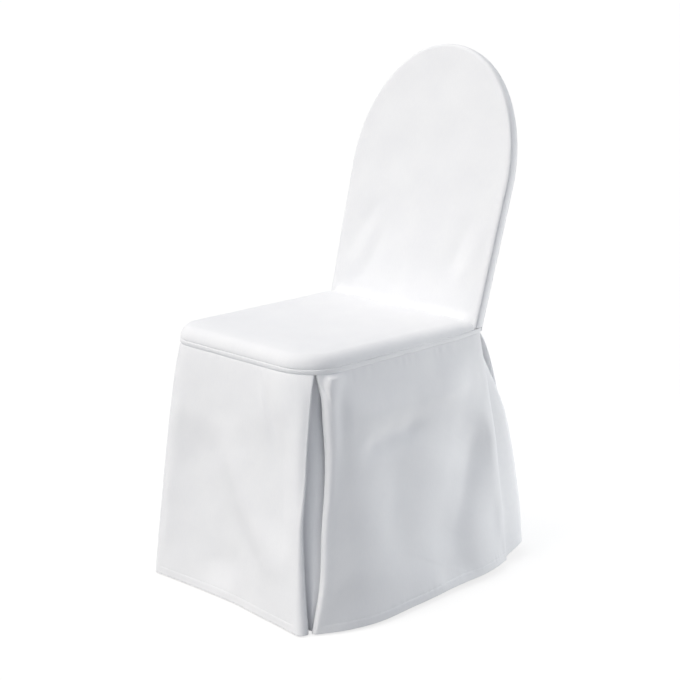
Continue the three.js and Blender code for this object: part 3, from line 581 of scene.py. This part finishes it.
# Skirt panels, going round from front to right, rear and left. hem: (x, y, z) of the lower edge.
# flare: power of the drop at start, middle and end. Each end folds back on a radius and turns back by
# a length; opening is the half angle in degrees between face and return, and slide how far the end
# moves along the panel; radius, opening and slide are rows of (drop, value). tucks: rolled edges of the
# fold, as lines of (distance from that end, down). creases: lines of (across, down) on the flat panel.
# shift: phase of the panel's unevenness.
PLEAT_OPENING = [(0, 0), (0.05, 8), (0.2, 6), (0.55, 4), (1, 2)]
REAR_OPENING = [(0, 0), (0.06, 9), (0.2, 5), (0.4, 1), (1, 0)]
BACK_OPENING = [(0, 0), (0.06, 8), (0.3, 2), (1, 0)]
TIGHT_FOLD = [(0, 2.6), (0.2, 2.6), (0.5, 2), (0.8, 1.4), (1, 1.4)]
STILL = [(0, 0), (1, 0)]
SKIRTS = {
    "front": {
        "hem": [
            (-184, -249, 3), (-122, -247, 3), (-40, -247, 3), (60, -252, 3), (150, -264, 3), (223, -273, 3),
        ],
        "flare": (0.6, 0.62, 0.6),
        "start": {
            "radius": [(0, 2.6), (0.35, 2.6), (0.62, 9.3), (0.9, 16), (1, 16)],
            "turn_back": 40,
            "opening": PLEAT_OPENING,
            "slide": STILL,
        },
        "end": {
            "radius": [(0, 2.6), (0.4, 2.6), (0.7, 7), (1, 12)],
            "tucks": [
                {
                    "line": [(14, 8), (0, 40), (-4, 90), (-4, 160), (-4, 260)],
                    "breadth": (8, 11), "rise": -4.0, "fade": 0.3,
                },
            ],
            "turn_back": 40,
            "opening": PLEAT_OPENING,
            "slide": [(0, 0), (0.3, -2), (0.4, -2), (0.6, -6), (0.85, -4), (1, 0)],
        },
        "creases": FRONT_CREASES,
        "shift": 0.3,
    },
    "right": {
        "hem": [
            (245.5, -242.5, 3), (271, -192, 4), (286, -120, 6), (278, -25, 8),
            (271, 60, 9), (264, 175, 12), (247, 248, 15), (228, 306, 18),
        ],
        "flare": (1.05, 1.1, 1.1),
        "start": {
            "radius": [(0, 2.6), (0.05, 6), (0.1, 10), (0.2, 11), (0.3, 10), (0.5, 8), (1, 8)],
            "tucks": [
                {
                    "line": [
                        (60, -80), (26, 4), (14, 20), (3, 44), (0, 90), (0, 210), (0, 340), (0, 470),
                    ],
                    "breadth": (8, 28), "rise": 9.5, "fade": 0.2,
                },
            ],
            "turn_back": 40,
            "opening": PLEAT_OPENING,
            "slide": [
                (0, 0), (0.06, 11), (0.1, 17), (0.2, 20), (0.3, 21), (0.4, 19), (0.6, 12), (0.8, 9), (1, 0),
            ],
        },
        "end": {
            "radius": TIGHT_FOLD,
            "tucks": [
                {
                    "line": [(0, 80), (0, 200), (0, 330), (0, 440)],
                    "breadth": (8, 36), "rise": 5.0, "fade": 0.3,
                },
            ],
            "turn_back": 30,
            "opening": REAR_OPENING,
            "slide": [
                (0, 0), (0.2, 0), (0.3, -5), (0.4, -9), (0.5, -13), (0.6, -20), (0.8, -31), (1, -42),
            ],
        },
        "creases": RIGHT_CREASES,
        "shift": 1.1,
    },
    "back": {
        "hem": [(162, 369, 18), (90, 373, 19), (0, 374, 19), (-90, 373, 19), (-162, 369, 18)],
        "flare": (0.54, 0.58, 0.54),
        "start": {
            "radius": TIGHT_FOLD,
            "turn_back": 30,
            "opening": BACK_OPENING,
            "slide": STILL,
        },
        "end": {
            "radius": TIGHT_FOLD,
            "turn_back": 30,
            "opening": BACK_OPENING,
            "slide": STILL,
        },
        "creases": BACK_SKIRT_CREASES,
        "shift": 2.3,
    },
    "left": {
        "hem": [
            (-228, 304, 18), (-247, 248, 15), (-264, 175, 12), (-270, 60, 9),
            (-274, -25, 8), (-270, -115, 6), (-246, -180, 4), (-213, -214, 3),
        ],
        "flare": (1.1, 0.7, 0.62),
        "start": {
            "radius": TIGHT_FOLD,
            "turn_back": 30,
            "opening": REAR_OPENING,
            "slide": [(0, 0), (0.2, 0), (0.3, 5), (0.4, 9), (0.5, 13), (0.6, 20), (0.8, 31), (1, 42)],
        },
        "end": {
            "radius": [(0, 2.6), (0.05, 3.2), (0.125, 5.3), (0.2, 7.4), (0.3, 8), (1, 8)],
            "turn_back": 40,
            "opening": PLEAT_OPENING,
            "slide": [(0, 0), (0.1, -8), (0.36, -12), (0.6, -6), (1, 0)],
        },
        "creases": LEFT_CREASES,
        "shift": 3.4,
    },
}

# Rows of the skirt down its drop, closer at the waist seam and through the hem
WAIST_ROWS, FACE_ROWS, HEM_ROWS = (
    np.linspace(first, last, count)
    for first, last, count in ((0.0, 0.05, 9), (0.05, 0.955, 118), (0.955, 1.0, 19))
)
SKIRT_DROPS = np.concatenate([WAIST_ROWS, FACE_ROWS[1:], HEM_ROWS[1:]])
FLOOR_CLEARANCE = 3.0
SKIRT_LENGTH = SKIRT_EDGE - FLOOR_CLEARANCE
SKIRT_FACE_STEPS = 150

# Creases fade towards the waist seam and the ends of a panel by shares of its drop and width, fine gathers
# by a share of the width; tucks and gathers fade over the first millimetres below the seam, and the
# unevenness sets in between two distances below it
CREASE_CALM = {"drop": 0.08, "along": 0.06}
FINE_CALM = 0.03
SEAM_CALM = 8.0
WAVE_START = (20.0, 90.0)
SIDE_STEP = 0.01


class SkirtPanel:
    """Skirt panel between two pleats: its face, and the cloth folded back behind it at both ends."""

    def __init__(self, span, row):
        """Stretch of the waist seam and the curves of a row; flat, it is as wide as the mean of waist
        and hem."""
        self.span = span
        self.width = span[1] - span[0]
        self.hem = curve_in_space(row["hem"])
        self.flare = curve_through(list(zip((0.0, 0.5, 1.0), row["flare"])))
        self.ends = (row["start"], row["end"])
        self.slides = tuple(curve_through(end["slide"]) for end in self.ends)
        self.openings = tuple(curve_through(end["opening"]) for end in self.ends)
        self.radii = tuple(curve_through(end["radius"]) for end in self.ends)
        self.creases = row["creases"]
        self.shift = row["shift"]
        self.flat_width = (self.width + self.hem.length) / 2.0

    def plain(self, along, drop):
        """Waist seam and hem joined by a flare: the cloth moves outward with a power of its drop."""
        slide = self.slides[0](drop) * np.maximum(0.0, 1.0 - along / SHIFT_REACH) ** 2
        slide = slide + self.slides[1](drop) * np.maximum(0.0, 1.0 - (1.0 - along) / SHIFT_REACH) ** 2
        place = np.clip(along + slide / self.width, 0.0, 1.0)
        top = waist_at(mix(self.span[0], self.span[1], place))
        hem = self.hem.at(place * self.hem.length)
        power = self.flare(along)
        bias = FLARE_START**power
        out = ((drop + FLARE_START) ** power - bias) / ((1.0 + FLARE_START) ** power - bias)
        plan = mix(top, hem[..., :2], out[..., None])
        height = mix(SKIRT_EDGE + seam_climb(top[..., 1]), hem[..., 2], drop)
        return np.concatenate([plan, height[..., None]], axis=-1)

    def outward(self, along, drop):
        """Level direction out of the plain flare, from its places a small step to either side."""
        before = self.plain(np.maximum(along - SIDE_STEP, 0.0), drop)
        after = self.plain(np.minimum(along + SIDE_STEP, 1.0), drop)
        return outward_from(before[..., :2], after[..., :2])

    def relief(self, along, drop):
        """How far the face stands out of the plain flare: its creases, slow unevenness, rolled edges,
        gathers at the waist seam, and the hem with the groove of its stitches."""
        across = along * self.flat_width
        down = drop * SKIRT_LENGTH
        total = crease_rise(across, down, self.creases)
        total += unevenness(across, down, self.shift) * smooth(*WAVE_START, down)
        side = CREASE_CALM["along"]
        total *= smooth(0.0, CREASE_CALM["drop"], drop)
        total *= smooth(0.0, side, along) * smooth(0.0, side, 1.0 - along)
        for end, inset in zip(self.ends, (across, self.flat_width - across)):
            total += crease_rise(inset, down, end.get("tucks", [])) * smooth(0.0, SEAM_CALM, down)
        above_hem = (1.0 - drop) * SKIRT_LENGTH
        over_stitches = above_hem - HEM["depth"]
        calm = smooth(0.0, FINE_CALM, along) * smooth(0.0, FINE_CALM, 1.0 - along)
        gathers = puckers(across, down, **WAIST_GATHERS, shift=self.shift)
        total += gathers * calm * smooth(0.0, SEAM_CALM, down)
        total += HEM["proud"] * (1.0 - smooth(-HEM["step"], HEM["step"], over_stitches)) * calm
        total -= HEM["groove"] * np.exp(-((over_stitches / HEM["groove_width"]) ** 2)) * calm
        total += puckers(across, over_stitches, **HEM_GATHERS, shift=self.shift + 1.0) * calm
        return total

    def face(self, along, drop):
        """Plain flare, moved along its outward direction by the relief."""
        out = self.outward(along, drop) * self.relief(along, drop)[..., None]
        point = self.plain(along, drop)
        point[..., :2] += out
        return point

    def radius(self, end, drop):
        """Radius of the fold at one end, by the drop."""
        return self.radii[end](drop)

    def opening(self, end, drop):
        """Angle between the face and the cloth turned back at one end, by the drop."""
        return np.radians(self.openings[end](drop))

    def behind(self, end, past, depth, drop):
        """Point past the end of the face by a distance, or back under it if negative, at a depth inside
        the face."""
        side = 2 * end - 1
        along = end + side * np.minimum(past, 0.0) / self.width
        point = self.face(along, drop)
        out = self.outward(along, drop)
        ahead = np.stack([-out[..., 1], out[..., 0]], axis=-1) * side
        point[..., :2] += ahead * np.maximum(past, 0.0)[..., None] - out * depth[..., None]
        return point

    def end_depth(self, end, drop):
        """Depth inside the face at which the turned-back cloth ends."""
        opening = self.opening(end, drop)
        turned = self.ends[end]["turn_back"] * np.sin(opening)
        return self.radius(end, drop) * (1.0 + np.cos(opening)) + turned

    def fold(self, end, drop, arc_steps=14, straight_steps=9):
        """Cloth beyond one end of the face: an arc of the fold's radius, then a straight stretch."""
        radius = self.radius(end, drop)
        opening = self.opening(end, drop)
        turn = np.linspace(0.0, 1.0, arc_steps + 1)[1:] * (np.pi - opening)
        arc_past = radius * np.sin(turn)
        arc_depth = radius * (1.0 - np.cos(turn))
        length = np.linspace(0.0, self.ends[end]["turn_back"], straight_steps + 1)[1:]
        past = np.concatenate([arc_past, arc_past[:, -1:] - length * np.cos(opening)], axis=1)
        depth = np.concatenate([arc_depth, arc_depth[:, -1:] + length * np.sin(opening)], axis=1)
        return self.behind(end, past, depth, drop)

    def sheet(self, face_steps):
        """Return, fold, face, fold and return side by side; above the waist seam the cloth turns in."""
        drop = SKIRT_DROPS[:, None]
        along = np.linspace(0.0, 1.0, face_steps + 1)[None, :]
        first = self.fold(0, drop)[:, ::-1]
        last = self.fold(1, drop)
        grid = np.concatenate([first, self.face(along, drop), last], axis=1)
        whole = np.concatenate([np.zeros(first.shape[1]), along[0], np.ones(last.shape[1])])
        inward = -self.outward(whole[None, :], drop[:1] + 0 * whole)
        kept = (smooth(0.0, FINE_CALM, whole) * smooth(0.0, FINE_CALM, 1.0 - whole))[None, :, None]
        tuck = WAIST_TURN_IN[:, None, :]
        under = np.repeat(grid[:1], len(tuck), axis=0)
        under[..., :2] += inward * tuck[..., :1] * kept
        under[..., 2:] += tuck[..., 1:] * mix(END_TURN_IN, 1.0, kept)
        grid = np.concatenate([under, grid])
        steps = np.linalg.norm(np.diff(grid[len(grid) // 2], axis=0), axis=1)
        across = np.concatenate([[0.0], np.cumsum(steps)])
        down = np.concatenate([-tuck[:, 0, 0], SKIRT_DROPS * SKIRT_LENGTH])
        return grid, np.stack(np.meshgrid(across, down), axis=-1)


# How far the pleat underlays hang behind the turned-back cloth, between middle surfaces: at the waist,
# below it once they have settled, and at the hem, to which they draw in between two drops
UNDERLAY_CLEARANCE = {"waist": 3.3, "below": 4.0, "settles": 0.12, "hem": 2.0, "draws_in": (0.3, 1.0)}
UNDERLAY_STEPS = 44

# Shares of an underlay's half width over which it passes from one panel to the other, and swells
UNDERLAY_TURN = 0.7
UNDERLAY_SWELL = 0.4

# How far an underlay swells into the corner between its panels, as (drop, share)
REAR_FULLNESS = curve_through([(0, 0), (0.15, 0.55), (0.3, 0.82), (0.5, 0.76), (0.75, 0.58), (1, 0.42)])
FLAT = curve_through(STILL)

# Hem of a swollen underlay: it lifts at its tip and drops beside it, by shares of its half width
HEM_LIFT = {"tip": 18.0, "tip_width": 0.22, "beside": 11.0, "place": 0.42, "width": 0.2, "starts": 0.75}


def corner_bulge(before, after, drop, space, fullness):
    """Way from the middle of the chord between two panels' ends to a share of the corner in which the
    panels' own directions would meet."""
    zero = 0 * drop
    first = before.behind(1, zero, before.end_depth(1, drop) + space, drop)
    second = after.behind(0, zero, after.end_depth(0, drop) + space, drop)
    chord = second - first
    ahead = before.behind(1, zero + 1.0, before.end_depth(1, drop) + space, drop) - first
    aback = after.behind(0, zero + 1.0, after.end_depth(0, drop) + space, drop) - second
    corner = first + ahead * np.maximum(0.0, np.sum(chord * ahead, axis=-1, keepdims=True))
    corner = corner + second + aback * np.maximum(0.0, -np.sum(chord * aback, axis=-1, keepdims=True))
    return (corner / 2.0 - (first + second) / 2.0) * fullness(drop)[..., None]


def pleat_underlay(before, after, fullness):
    """Strip behind a pleat: it follows the inside of both panels and turns the corner between them."""
    drop = SKIRT_DROPS[:, None]
    across = np.linspace(-1.0, 1.0, UNDERLAY_STEPS + 1)[None, :] + 0 * drop
    clear = UNDERLAY_CLEARANCE
    space = mix(clear["waist"], clear["below"], smooth(0.0, clear["settles"], drop))
    space = mix(space, clear["hem"], smooth(*clear["draws_in"], drop))
    reach = (before.ends[1]["turn_back"], after.ends[0]["turn_back"])
    first_depth = before.end_depth(1, drop) + space + 0 * across
    second_depth = after.end_depth(0, drop) + space + 0 * across
    first = before.behind(1, np.minimum(across, 0.0) * reach[0], first_depth, drop)
    second = after.behind(0, np.minimum(-across, 0.0) * reach[1], second_depth, drop)
    grid = mix(first, second, smooth(-UNDERLAY_TURN, UNDERLAY_TURN, across)[..., None])
    swell = smooth(-UNDERLAY_SWELL, 0.0, across) * smooth(-UNDERLAY_SWELL, 0.0, -across)
    grid = grid + corner_bulge(before, after, drop, space, fullness) * swell[..., None]
    tip = np.exp(-((across / HEM_LIFT["tip_width"]) ** 2))
    beside = np.exp(-(((np.abs(across) - HEM_LIFT["place"]) / HEM_LIFT["width"]) ** 2))
    lift = (HEM_LIFT["tip"] * tip - HEM_LIFT["beside"] * beside) * fullness(drop)
    grid[..., 2] += lift * smooth(HEM_LIFT["starts"], 1.0, drop)
    down = drop * SKIRT_LENGTH + 0 * across
    return grid, np.stack([across * sum(reach) / 2.0, down], axis=-1)


panels = {name: SkirtPanel(SPANS[name], row) for name, row in SKIRTS.items()}


# Thread dashes: their rings by place along a dash and by share of its width
STITCH = {"pitch": 3.6, "length": 2.7, "width": 0.3, "lift": 0.15, "girth": 1.5, "sides": 6}
STITCH_RINGS = np.array([-0.5, -0.3, 0.3, 0.5])
STITCH_TAPER = np.array([0.0, 1.0, 1.0, 0.0])
STITCH_SPAN = (0.03, 0.97)
STITCH_AHEAD = 0.002


def hem_stitches():
    """Straight stitches along the top of every hem: flat six-sided thread dashes lying on the face, drawn
    to a point at both ends."""
    lift = STITCH["lift"]
    turn = np.linspace(0.0, 2.0 * np.pi, STITCH["sides"] + 1)[:-1]
    taper = STITCH_TAPER[:, None, None]
    place = (STITCH_RINGS * STITCH["length"])[:, None, None]
    rings = []
    for panel in panels.values():
        count = int(panel.hem.length * (STITCH_SPAN[1] - STITCH_SPAN[0]) / STITCH["pitch"])
        along = np.linspace(*STITCH_SPAN, count)
        drop = np.full(count, 1.0 - HEM["depth"] / SKIRT_LENGTH)
        point = panel.face(along, drop)
        ahead = panel.face(along + STITCH_AHEAD, drop) - point
        ahead /= np.linalg.norm(ahead, axis=1, keepdims=True)
        out = np.concatenate([panel.outward(along, drop), np.zeros((count, 1))], axis=1)
        up = np.cross(out, ahead)
        centre = point + out * (SHEET / 2.0 + lift * 0.5)
        ring = centre[:, None, None] + ahead[:, None, None] * place
        ring = ring + (out[:, None, None] * np.cos(turn)[:, None] * lift) * taper
        ring = ring + (up[:, None, None] * np.sin(turn)[:, None] * STITCH["width"]) * taper
        rings.append(ring)
    return np.concatenate(rings)


def linear(hex_colour):
    """sRGB hex colour as linear red, green, blue and alpha."""
    srgb = np.array([int(hex_colour[i : i + 2], 16) for i in (1, 3, 5)]) / 255.0
    light = np.where(srgb <= 0.04045, srgb / 12.92, ((srgb + 0.055) / 1.055) ** 2.4)
    return (*light.tolist(), 1.0)


def add_node(tree, kind, settings=None, inputs=None, **links):
    """Add one node with its settings and input values, and link each named input to a socket; _0, _1 and so
    on name an input by its number."""
    node = tree.nodes.new(kind)
    for name, value in (settings or {}).items():
        setattr(node, name, value)
    for name, value in (inputs or {}).items():
        node.inputs[name].default_value = value
    for name, socket in links.items():
        place = int(name[1:]) if name[1:].isdigit() else name.replace("_", " ")
        tree.links.new(socket, node.inputs[place])
    return node


# Polyester plain weave, bleached white: matt, with a faint nap, uneven yarns and a fine rib. The real
# threads lie 0.4 mm apart, too fine to show, so the weave is drawn at 1.6 mm.
WEAVE_PITCH = 1.6
SLUB_LENGTH = 14.0
MOTTLE = 70.0
CREPE = 5.5
YARN_RANGE = {"From Min": 0.6, "From Max": 1.4}
ROUGHNESS = {"To Min": 0.78, "To Max": 0.9}
RIB = {"Strength": 0.12, "Distance": 0.15 * MM}
CREPE_RELIEF = {"Strength": 0.2, "Distance": 0.4 * MM}
FINISH = {"IOR": 1.5, "Specular IOR Level": 0.25, "Sheen Weight": 0.12, "Sheen Roughness": 0.5}

# Radians that the wave texture turns for each unit of its scale, and the colour sockets of the mix node
WAVE_RADIANS = 20.0
FIRST_COLOUR, SECOND_COLOUR, MIXED_COLOUR = 6, 7, 2


def polyester_plain_weave(name, light_hex, shade_hex):
    """Matt cloth on the cut piece's own map: warp bands times weft bands as a fine rib, a crepe over it, and
    slubs along the yarns with a slow mottle between two near colours."""
    material = bpy.data.materials.new(name)
    material.use_nodes = True
    tree = material.node_tree
    tree.nodes.clear()
    place = add_node(tree, "ShaderNodeUVMap", {"uv_map": "cloth"}).outputs["UV"]

    threads = {"Scale": 2.0 * math.pi / (WAVE_RADIANS * WEAVE_PITCH * MM)}
    yarns = {}
    for yarn, direction in (("warp", "X"), ("weft", "Y")):
        bands = {"wave_type": "BANDS", "bands_direction": direction}
        yarns[yarn] = add_node(tree, "ShaderNodeTexWave", bands, threads, Vector=place).outputs["Fac"]
    times = {"operation": "MULTIPLY"}
    weave = add_node(tree, "ShaderNodeMath", times, None, _0=yarns["warp"], _1=yarns["weft"])
    along_yarn = {"Scale": (1.0 / (WEAVE_PITCH * MM), 1.0 / (SLUB_LENGTH * MM), 1.0)}
    stretched = add_node(tree, "ShaderNodeMapping", None, along_yarn, Vector=place).outputs["Vector"]
    patterns = {}
    for pattern, scale, detail, vector in (
        ("slubs", 1.0, 2.0, stretched),
        ("mottle", 1.0 / (MOTTLE * MM), 3.0, place),
        ("crepe", 1.0 / (CREPE * MM), 3.0, place),
    ):
        values = {"Scale": scale, "Detail": detail}
        grain = add_node(tree, "ShaderNodeTexNoise", {"noise_dimensions": "2D"}, values, Vector=vector)
        patterns[pattern] = grain.outputs["Fac"]

    plus = {"operation": "ADD"}
    uneven = add_node(tree, "ShaderNodeMath", plus, None, _0=patterns["slubs"], _1=patterns["mottle"])
    tone = add_node(tree, "ShaderNodeMapRange", None, YARN_RANGE, Value=uneven.outputs["Value"])
    colours = {FIRST_COLOUR: linear(shade_hex), SECOND_COLOUR: linear(light_hex)}
    colour = add_node(tree, "ShaderNodeMix", {"data_type": "RGBA"}, colours, Factor=tone.outputs["Result"])
    fine = add_node(tree, "ShaderNodeBump", None, RIB, Height=weave.outputs["Value"])
    rib, crepe = fine.outputs["Normal"], patterns["crepe"]
    soft = add_node(tree, "ShaderNodeBump", None, CREPE_RELIEF, Height=crepe, Normal=rib)
    rough = add_node(tree, "ShaderNodeMapRange", None, ROUGHNESS, Value=patterns["slubs"])
    cloth = add_node(
        tree,
        "ShaderNodeBsdfPrincipled",
        None,
        FINISH,
        Base_Color=colour.outputs[MIXED_COLOUR],
        Roughness=rough.outputs["Result"],
        Normal=soft.outputs["Normal"],
    )
    add_node(tree, "ShaderNodeOutputMaterial", None, None, Surface=cloth.outputs["BSDF"])
    return material


WHITE_CLOTH = polyester_plain_weave("bleached_polyester_plain_weave", "#F5F6F8", "#F1F2F5")


# Points closer than this are one point where a grid closes, and shorter edges are dissolved
WELD = 0.02
SHORTEST_EDGE = 0.005


def put_mesh(name, points, faces, corner_uv, material, welded):
    """Object at the origin from floor millimetres: points moved down to the seat's underside, in metres."""
    mesh = bpy.data.meshes.new(name)
    place = (points - np.array([0.0, 0.0, SEAT_UNDERSIDE])) * MM
    mesh.from_pydata(place.tolist(), [], faces.tolist())
    layer = mesh.uv_layers.new(name="cloth")
    layer.data.foreach_set("uv", (corner_uv * MM).ravel())
    if welded:
        work = bmesh.new()
        work.from_mesh(mesh)
        bmesh.ops.remove_doubles(work, verts=work.verts, dist=WELD * MM)
        bmesh.ops.dissolve_degenerate(work, edges=work.edges, dist=SHORTEST_EDGE * MM)
        work.to_mesh(mesh)
        work.free()
    mesh.polygons.foreach_set("use_smooth", np.ones(len(mesh.polygons), bool))
    mesh.materials.append(material)
    mesh.update()
    piece = bpy.data.objects.new(name, mesh)
    bpy.context.scene.collection.objects.link(piece)
    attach(piece, "root")
    return piece


def grid_faces(rows, columns):
    """Quads of a grid whose columns run to the right of the outer side, row by row downwards."""
    corner = np.arange(rows * columns).reshape(rows, columns)
    quads = np.stack([corner[:-1, :-1], corner[1:, :-1], corner[1:, 1:], corner[:-1, 1:]], axis=-1)
    return quads.reshape(-1, 4)


def put_cloth(name, surface, node, welded=False, thickness=SHEET):
    """Piece of cloth on a grid of points, in place of a node, with its thickness on both sides."""
    grid, uv = surface
    faces = grid_faces(*grid.shape[:2])
    corner_uv = uv.reshape(-1, 2)[faces.ravel()]
    piece = put_mesh(name, grid.reshape(-1, 3), faces, corner_uv, WHITE_CLOTH, welded)
    if thickness:
        solid = piece.modifiers.new("cloth thickness", "SOLIDIFY")
        solid.thickness = thickness * MM
        solid.offset = 0.0
    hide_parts(node)
    return piece


seat = put_cloth("seat_panel", seat_panel(), "seat_top", welded=True)
welt = put_cloth("waist_welt", waist_welt(), "seat_piping", welded=True, thickness=0.0)
inside = put_cloth("inside_back_panel", inside_back(), "inside_back", welded=True)
outside = put_cloth("outside_back_panel", outside_back(), "outside_back", welded=True)
strip = put_cloth("back_edge_strip", back_edge_strip(), "back_edge_band")
for name, panel in panels.items():
    put_cloth(f"skirt_{name}_panel", panel.sheet(SKIRT_FACE_STEPS), f"skirt_{name}")
for corner, before, after, fullness in (
    ("front_right", "front", "right", FLAT),
    ("rear_right", "right", "back", REAR_FULLNESS),
    ("rear_left", "back", "left", REAR_FULLNESS),
    ("front_left", "left", "front", FLAT),
):
    surface = pleat_underlay(panels[before], panels[after], fullness)
    put_cloth(f"pleat_underlay_{corner}", surface, f"pleat_{corner}")


def put_stitches():
    """All stitches in one piece: each dash is a tube of rings, and welding closes it at its two points."""
    dashes = hem_stitches()
    rings, sides = dashes.shape[1:3]
    tube = np.arange(rings)[:, None] * sides + np.arange(sides + 1) % sides
    patch = grid_faces(rings, sides + 1)
    first = np.arange(len(dashes))[:, None, None] * rings * sides
    faces = (first + tube.ravel()[patch]).reshape(-1, 4)
    around = np.linspace(0.0, STITCH["girth"], sides + 1)
    along = np.linspace(0.0, STITCH["length"], rings)
    uv = np.stack(np.meshgrid(around, along), axis=-1).reshape(-1, 2)
    corner_uv = np.tile(uv[patch.ravel()], (len(dashes), 1))
    return put_mesh("hem_stitches", dashes.reshape(-1, 3), faces, corner_uv, WHITE_CLOTH, True)


stitches = put_stitches()

# Floor by half its side in metres, the grey that it throws back, and the grey and glow that it shows
FLOOR = {"half": 40.0, "throws": "#C8C8C8", "shows": "#8A8A8A", "glow": 0.78}


def pale_floor():
    """Wide floor just below the hems: white to look at, but dim enough in what it throws
    back that the skirt keeps its shade."""
    material = bpy.data.materials.new("pale_studio_floor")
    material.use_nodes = True
    tree = material.node_tree
    tree.nodes.clear()
    dim = add_node(tree, "ShaderNodeBsdfDiffuse", None, {"Color": linear(FLOOR["throws"])})
    lit = add_node(tree, "ShaderNodeBsdfDiffuse", None, {"Color": linear(FLOOR["shows"])}).outputs["BSDF"]
    light = {"Color": linear("#FFFFFF"), "Strength": FLOOR["glow"]}
    glow = add_node(tree, "ShaderNodeEmission", None, light).outputs["Emission"]
    white = add_node(tree, "ShaderNodeAddShader", None, None, _0=lit, _1=glow)
    ray = add_node(tree, "ShaderNodeLightPath")
    seen = add_node(
        tree,
        "ShaderNodeMixShader",
        None,
        None,
        _0=ray.outputs["Is Camera Ray"],
        _1=dim.outputs["BSDF"],
        _2=white.outputs["Shader"],
    )
    add_node(tree, "ShaderNodeOutputMaterial", None, None, Surface=seen.outputs["Shader"])
    mesh = bpy.data.meshes.new("floor")
    half, height = FLOOR["half"], -SEAT_UNDERSIDE * MM
    corners = [(x * half, y * half, height) for x, y in ((-1, -1), (1, -1), (1, 1), (-1, 1))]
    mesh.from_pydata(corners, [], [(0, 1, 2, 3)])
    mesh.materials.append(material)
    floor = bpy.data.objects.new("floor", mesh)
    bpy.context.scene.collection.objects.link(floor)


# Light by colour and strength: an even sky that is brighter towards the backdrop by the cosine of the
# angle from it, large far lamps by the direction they stand in and their spread in degrees, and a softbox
# near the right rear by its place, target and side in floor millimetres
SKY = {"toward": (-0.72, 0.69, 0.0), "colour": (0.9, 0.96, 1.07), "even": 0.33, "backdrop": 0.22}
LAMPS = {
    "key": {"toward": (-0.27, -0.48, 0.83), "colour": (1.0, 0.95, 0.88), "strength": 2.24, "spread": 40.0},
    "front": {"toward": (0.25, -0.9, 0.35), "colour": (0.96, 1.0, 1.0), "strength": 0.2, "spread": 30.0},
}
SOFTBOX = {"place": (620.0, 1150.0, 420.0), "target": (220.0, 30.0, 250.0), "side": 500.0}
SOFTBOX_LIGHT = {"colour": (1.0, 1.0, 0.97), "power": 6.9}


def studio_light():
    """Even cool sky, a little brighter towards the backdrop, a warm key from the upper left front, a weak
    lamp in front and a softbox near the right rear, whose grazing light brings out the side's folds."""
    world = bpy.data.worlds.new("studio")
    bpy.context.scene.world = world
    world.use_nodes = True
    tree = world.node_tree
    tree.nodes.clear()
    way = add_node(tree, "ShaderNodeTexCoord")
    toward = Vector(SKY["toward"]).normalized()
    product = {"operation": "DOT_PRODUCT"}
    facing = add_node(tree, "ShaderNodeVectorMath", product, {1: toward}, _0=way.outputs["Generated"])
    facing = facing.outputs["Value"]
    toward_it = add_node(tree, "ShaderNodeMath", {"operation": "MAXIMUM"}, {1: 0.0}, _0=facing)
    toward_it = toward_it.outputs["Value"]
    brightness = {1: SKY["backdrop"], 2: SKY["even"]}
    share = add_node(tree, "ShaderNodeMath", {"operation": "MULTIPLY_ADD"}, brightness, _0=toward_it)
    tint = {"Color": (*SKY["colour"], 1.0)}
    sky = add_node(tree, "ShaderNodeBackground", None, tint, Strength=share.outputs["Value"])
    add_node(tree, "ShaderNodeOutputWorld", None, None, Surface=sky.outputs["Background"])
    for name, row in LAMPS.items():
        sun = bpy.data.lights.new(name, "SUN")
        sun.energy = row["strength"]
        sun.color = row["colour"]
        sun.angle = math.radians(row["spread"])
        lamp = bpy.data.objects.new(name, sun)
        lamp.rotation_euler = (-Vector(row["toward"])).to_track_quat("-Z", "Y").to_euler()
        bpy.context.scene.collection.objects.link(lamp)
    area = bpy.data.lights.new("softbox", "AREA")
    area.size = SOFTBOX["side"] * MM
    area.energy = SOFTBOX_LIGHT["power"]
    area.color = SOFTBOX_LIGHT["colour"]
    box = bpy.data.objects.new("softbox", area)
    place = Vector(SOFTBOX["place"])
    box.location = (place - Vector((0.0, 0.0, SEAT_UNDERSIDE))) * MM
    box.rotation_euler = (Vector(SOFTBOX["target"]) - place).to_track_quat("-Z", "Y").to_euler()
    bpy.context.scene.collection.objects.link(box)


# The camera stands as for the photograph: its place and target in floor millimetres, and its lens
CAMERA_PLACE = np.array([2758.26, -2615.91, 1411.26])
CAMERA_TARGET = np.array([56.04, -5.24, 454.53])
CAMERA_LENS = 112.43
CAMERA_SENSOR = 36.0
CAMERA_SIGHT = 200.0


def photograph_camera():
    """Camera at its place, turned along the straight way to its target."""
    data = bpy.data.cameras.new("camera")
    data.lens = CAMERA_LENS
    data.sensor_width = CAMERA_SENSOR
    data.clip_end = CAMERA_SIGHT
    camera = bpy.data.objects.new("camera", data)
    down = np.array([0.0, 0.0, SEAT_UNDERSIDE])
    camera.location = Vector((CAMERA_PLACE - down) * MM)
    way = Vector(CAMERA_TARGET - CAMERA_PLACE)
    camera.rotation_euler = way.to_track_quat("-Z", "Y").to_euler()
    bpy.context.scene.collection.objects.link(camera)
    bpy.context.scene.camera = camera


pale_floor()
studio_light()
photograph_camera()
bpy.context.scene.view_settings.view_transform = "Standard"
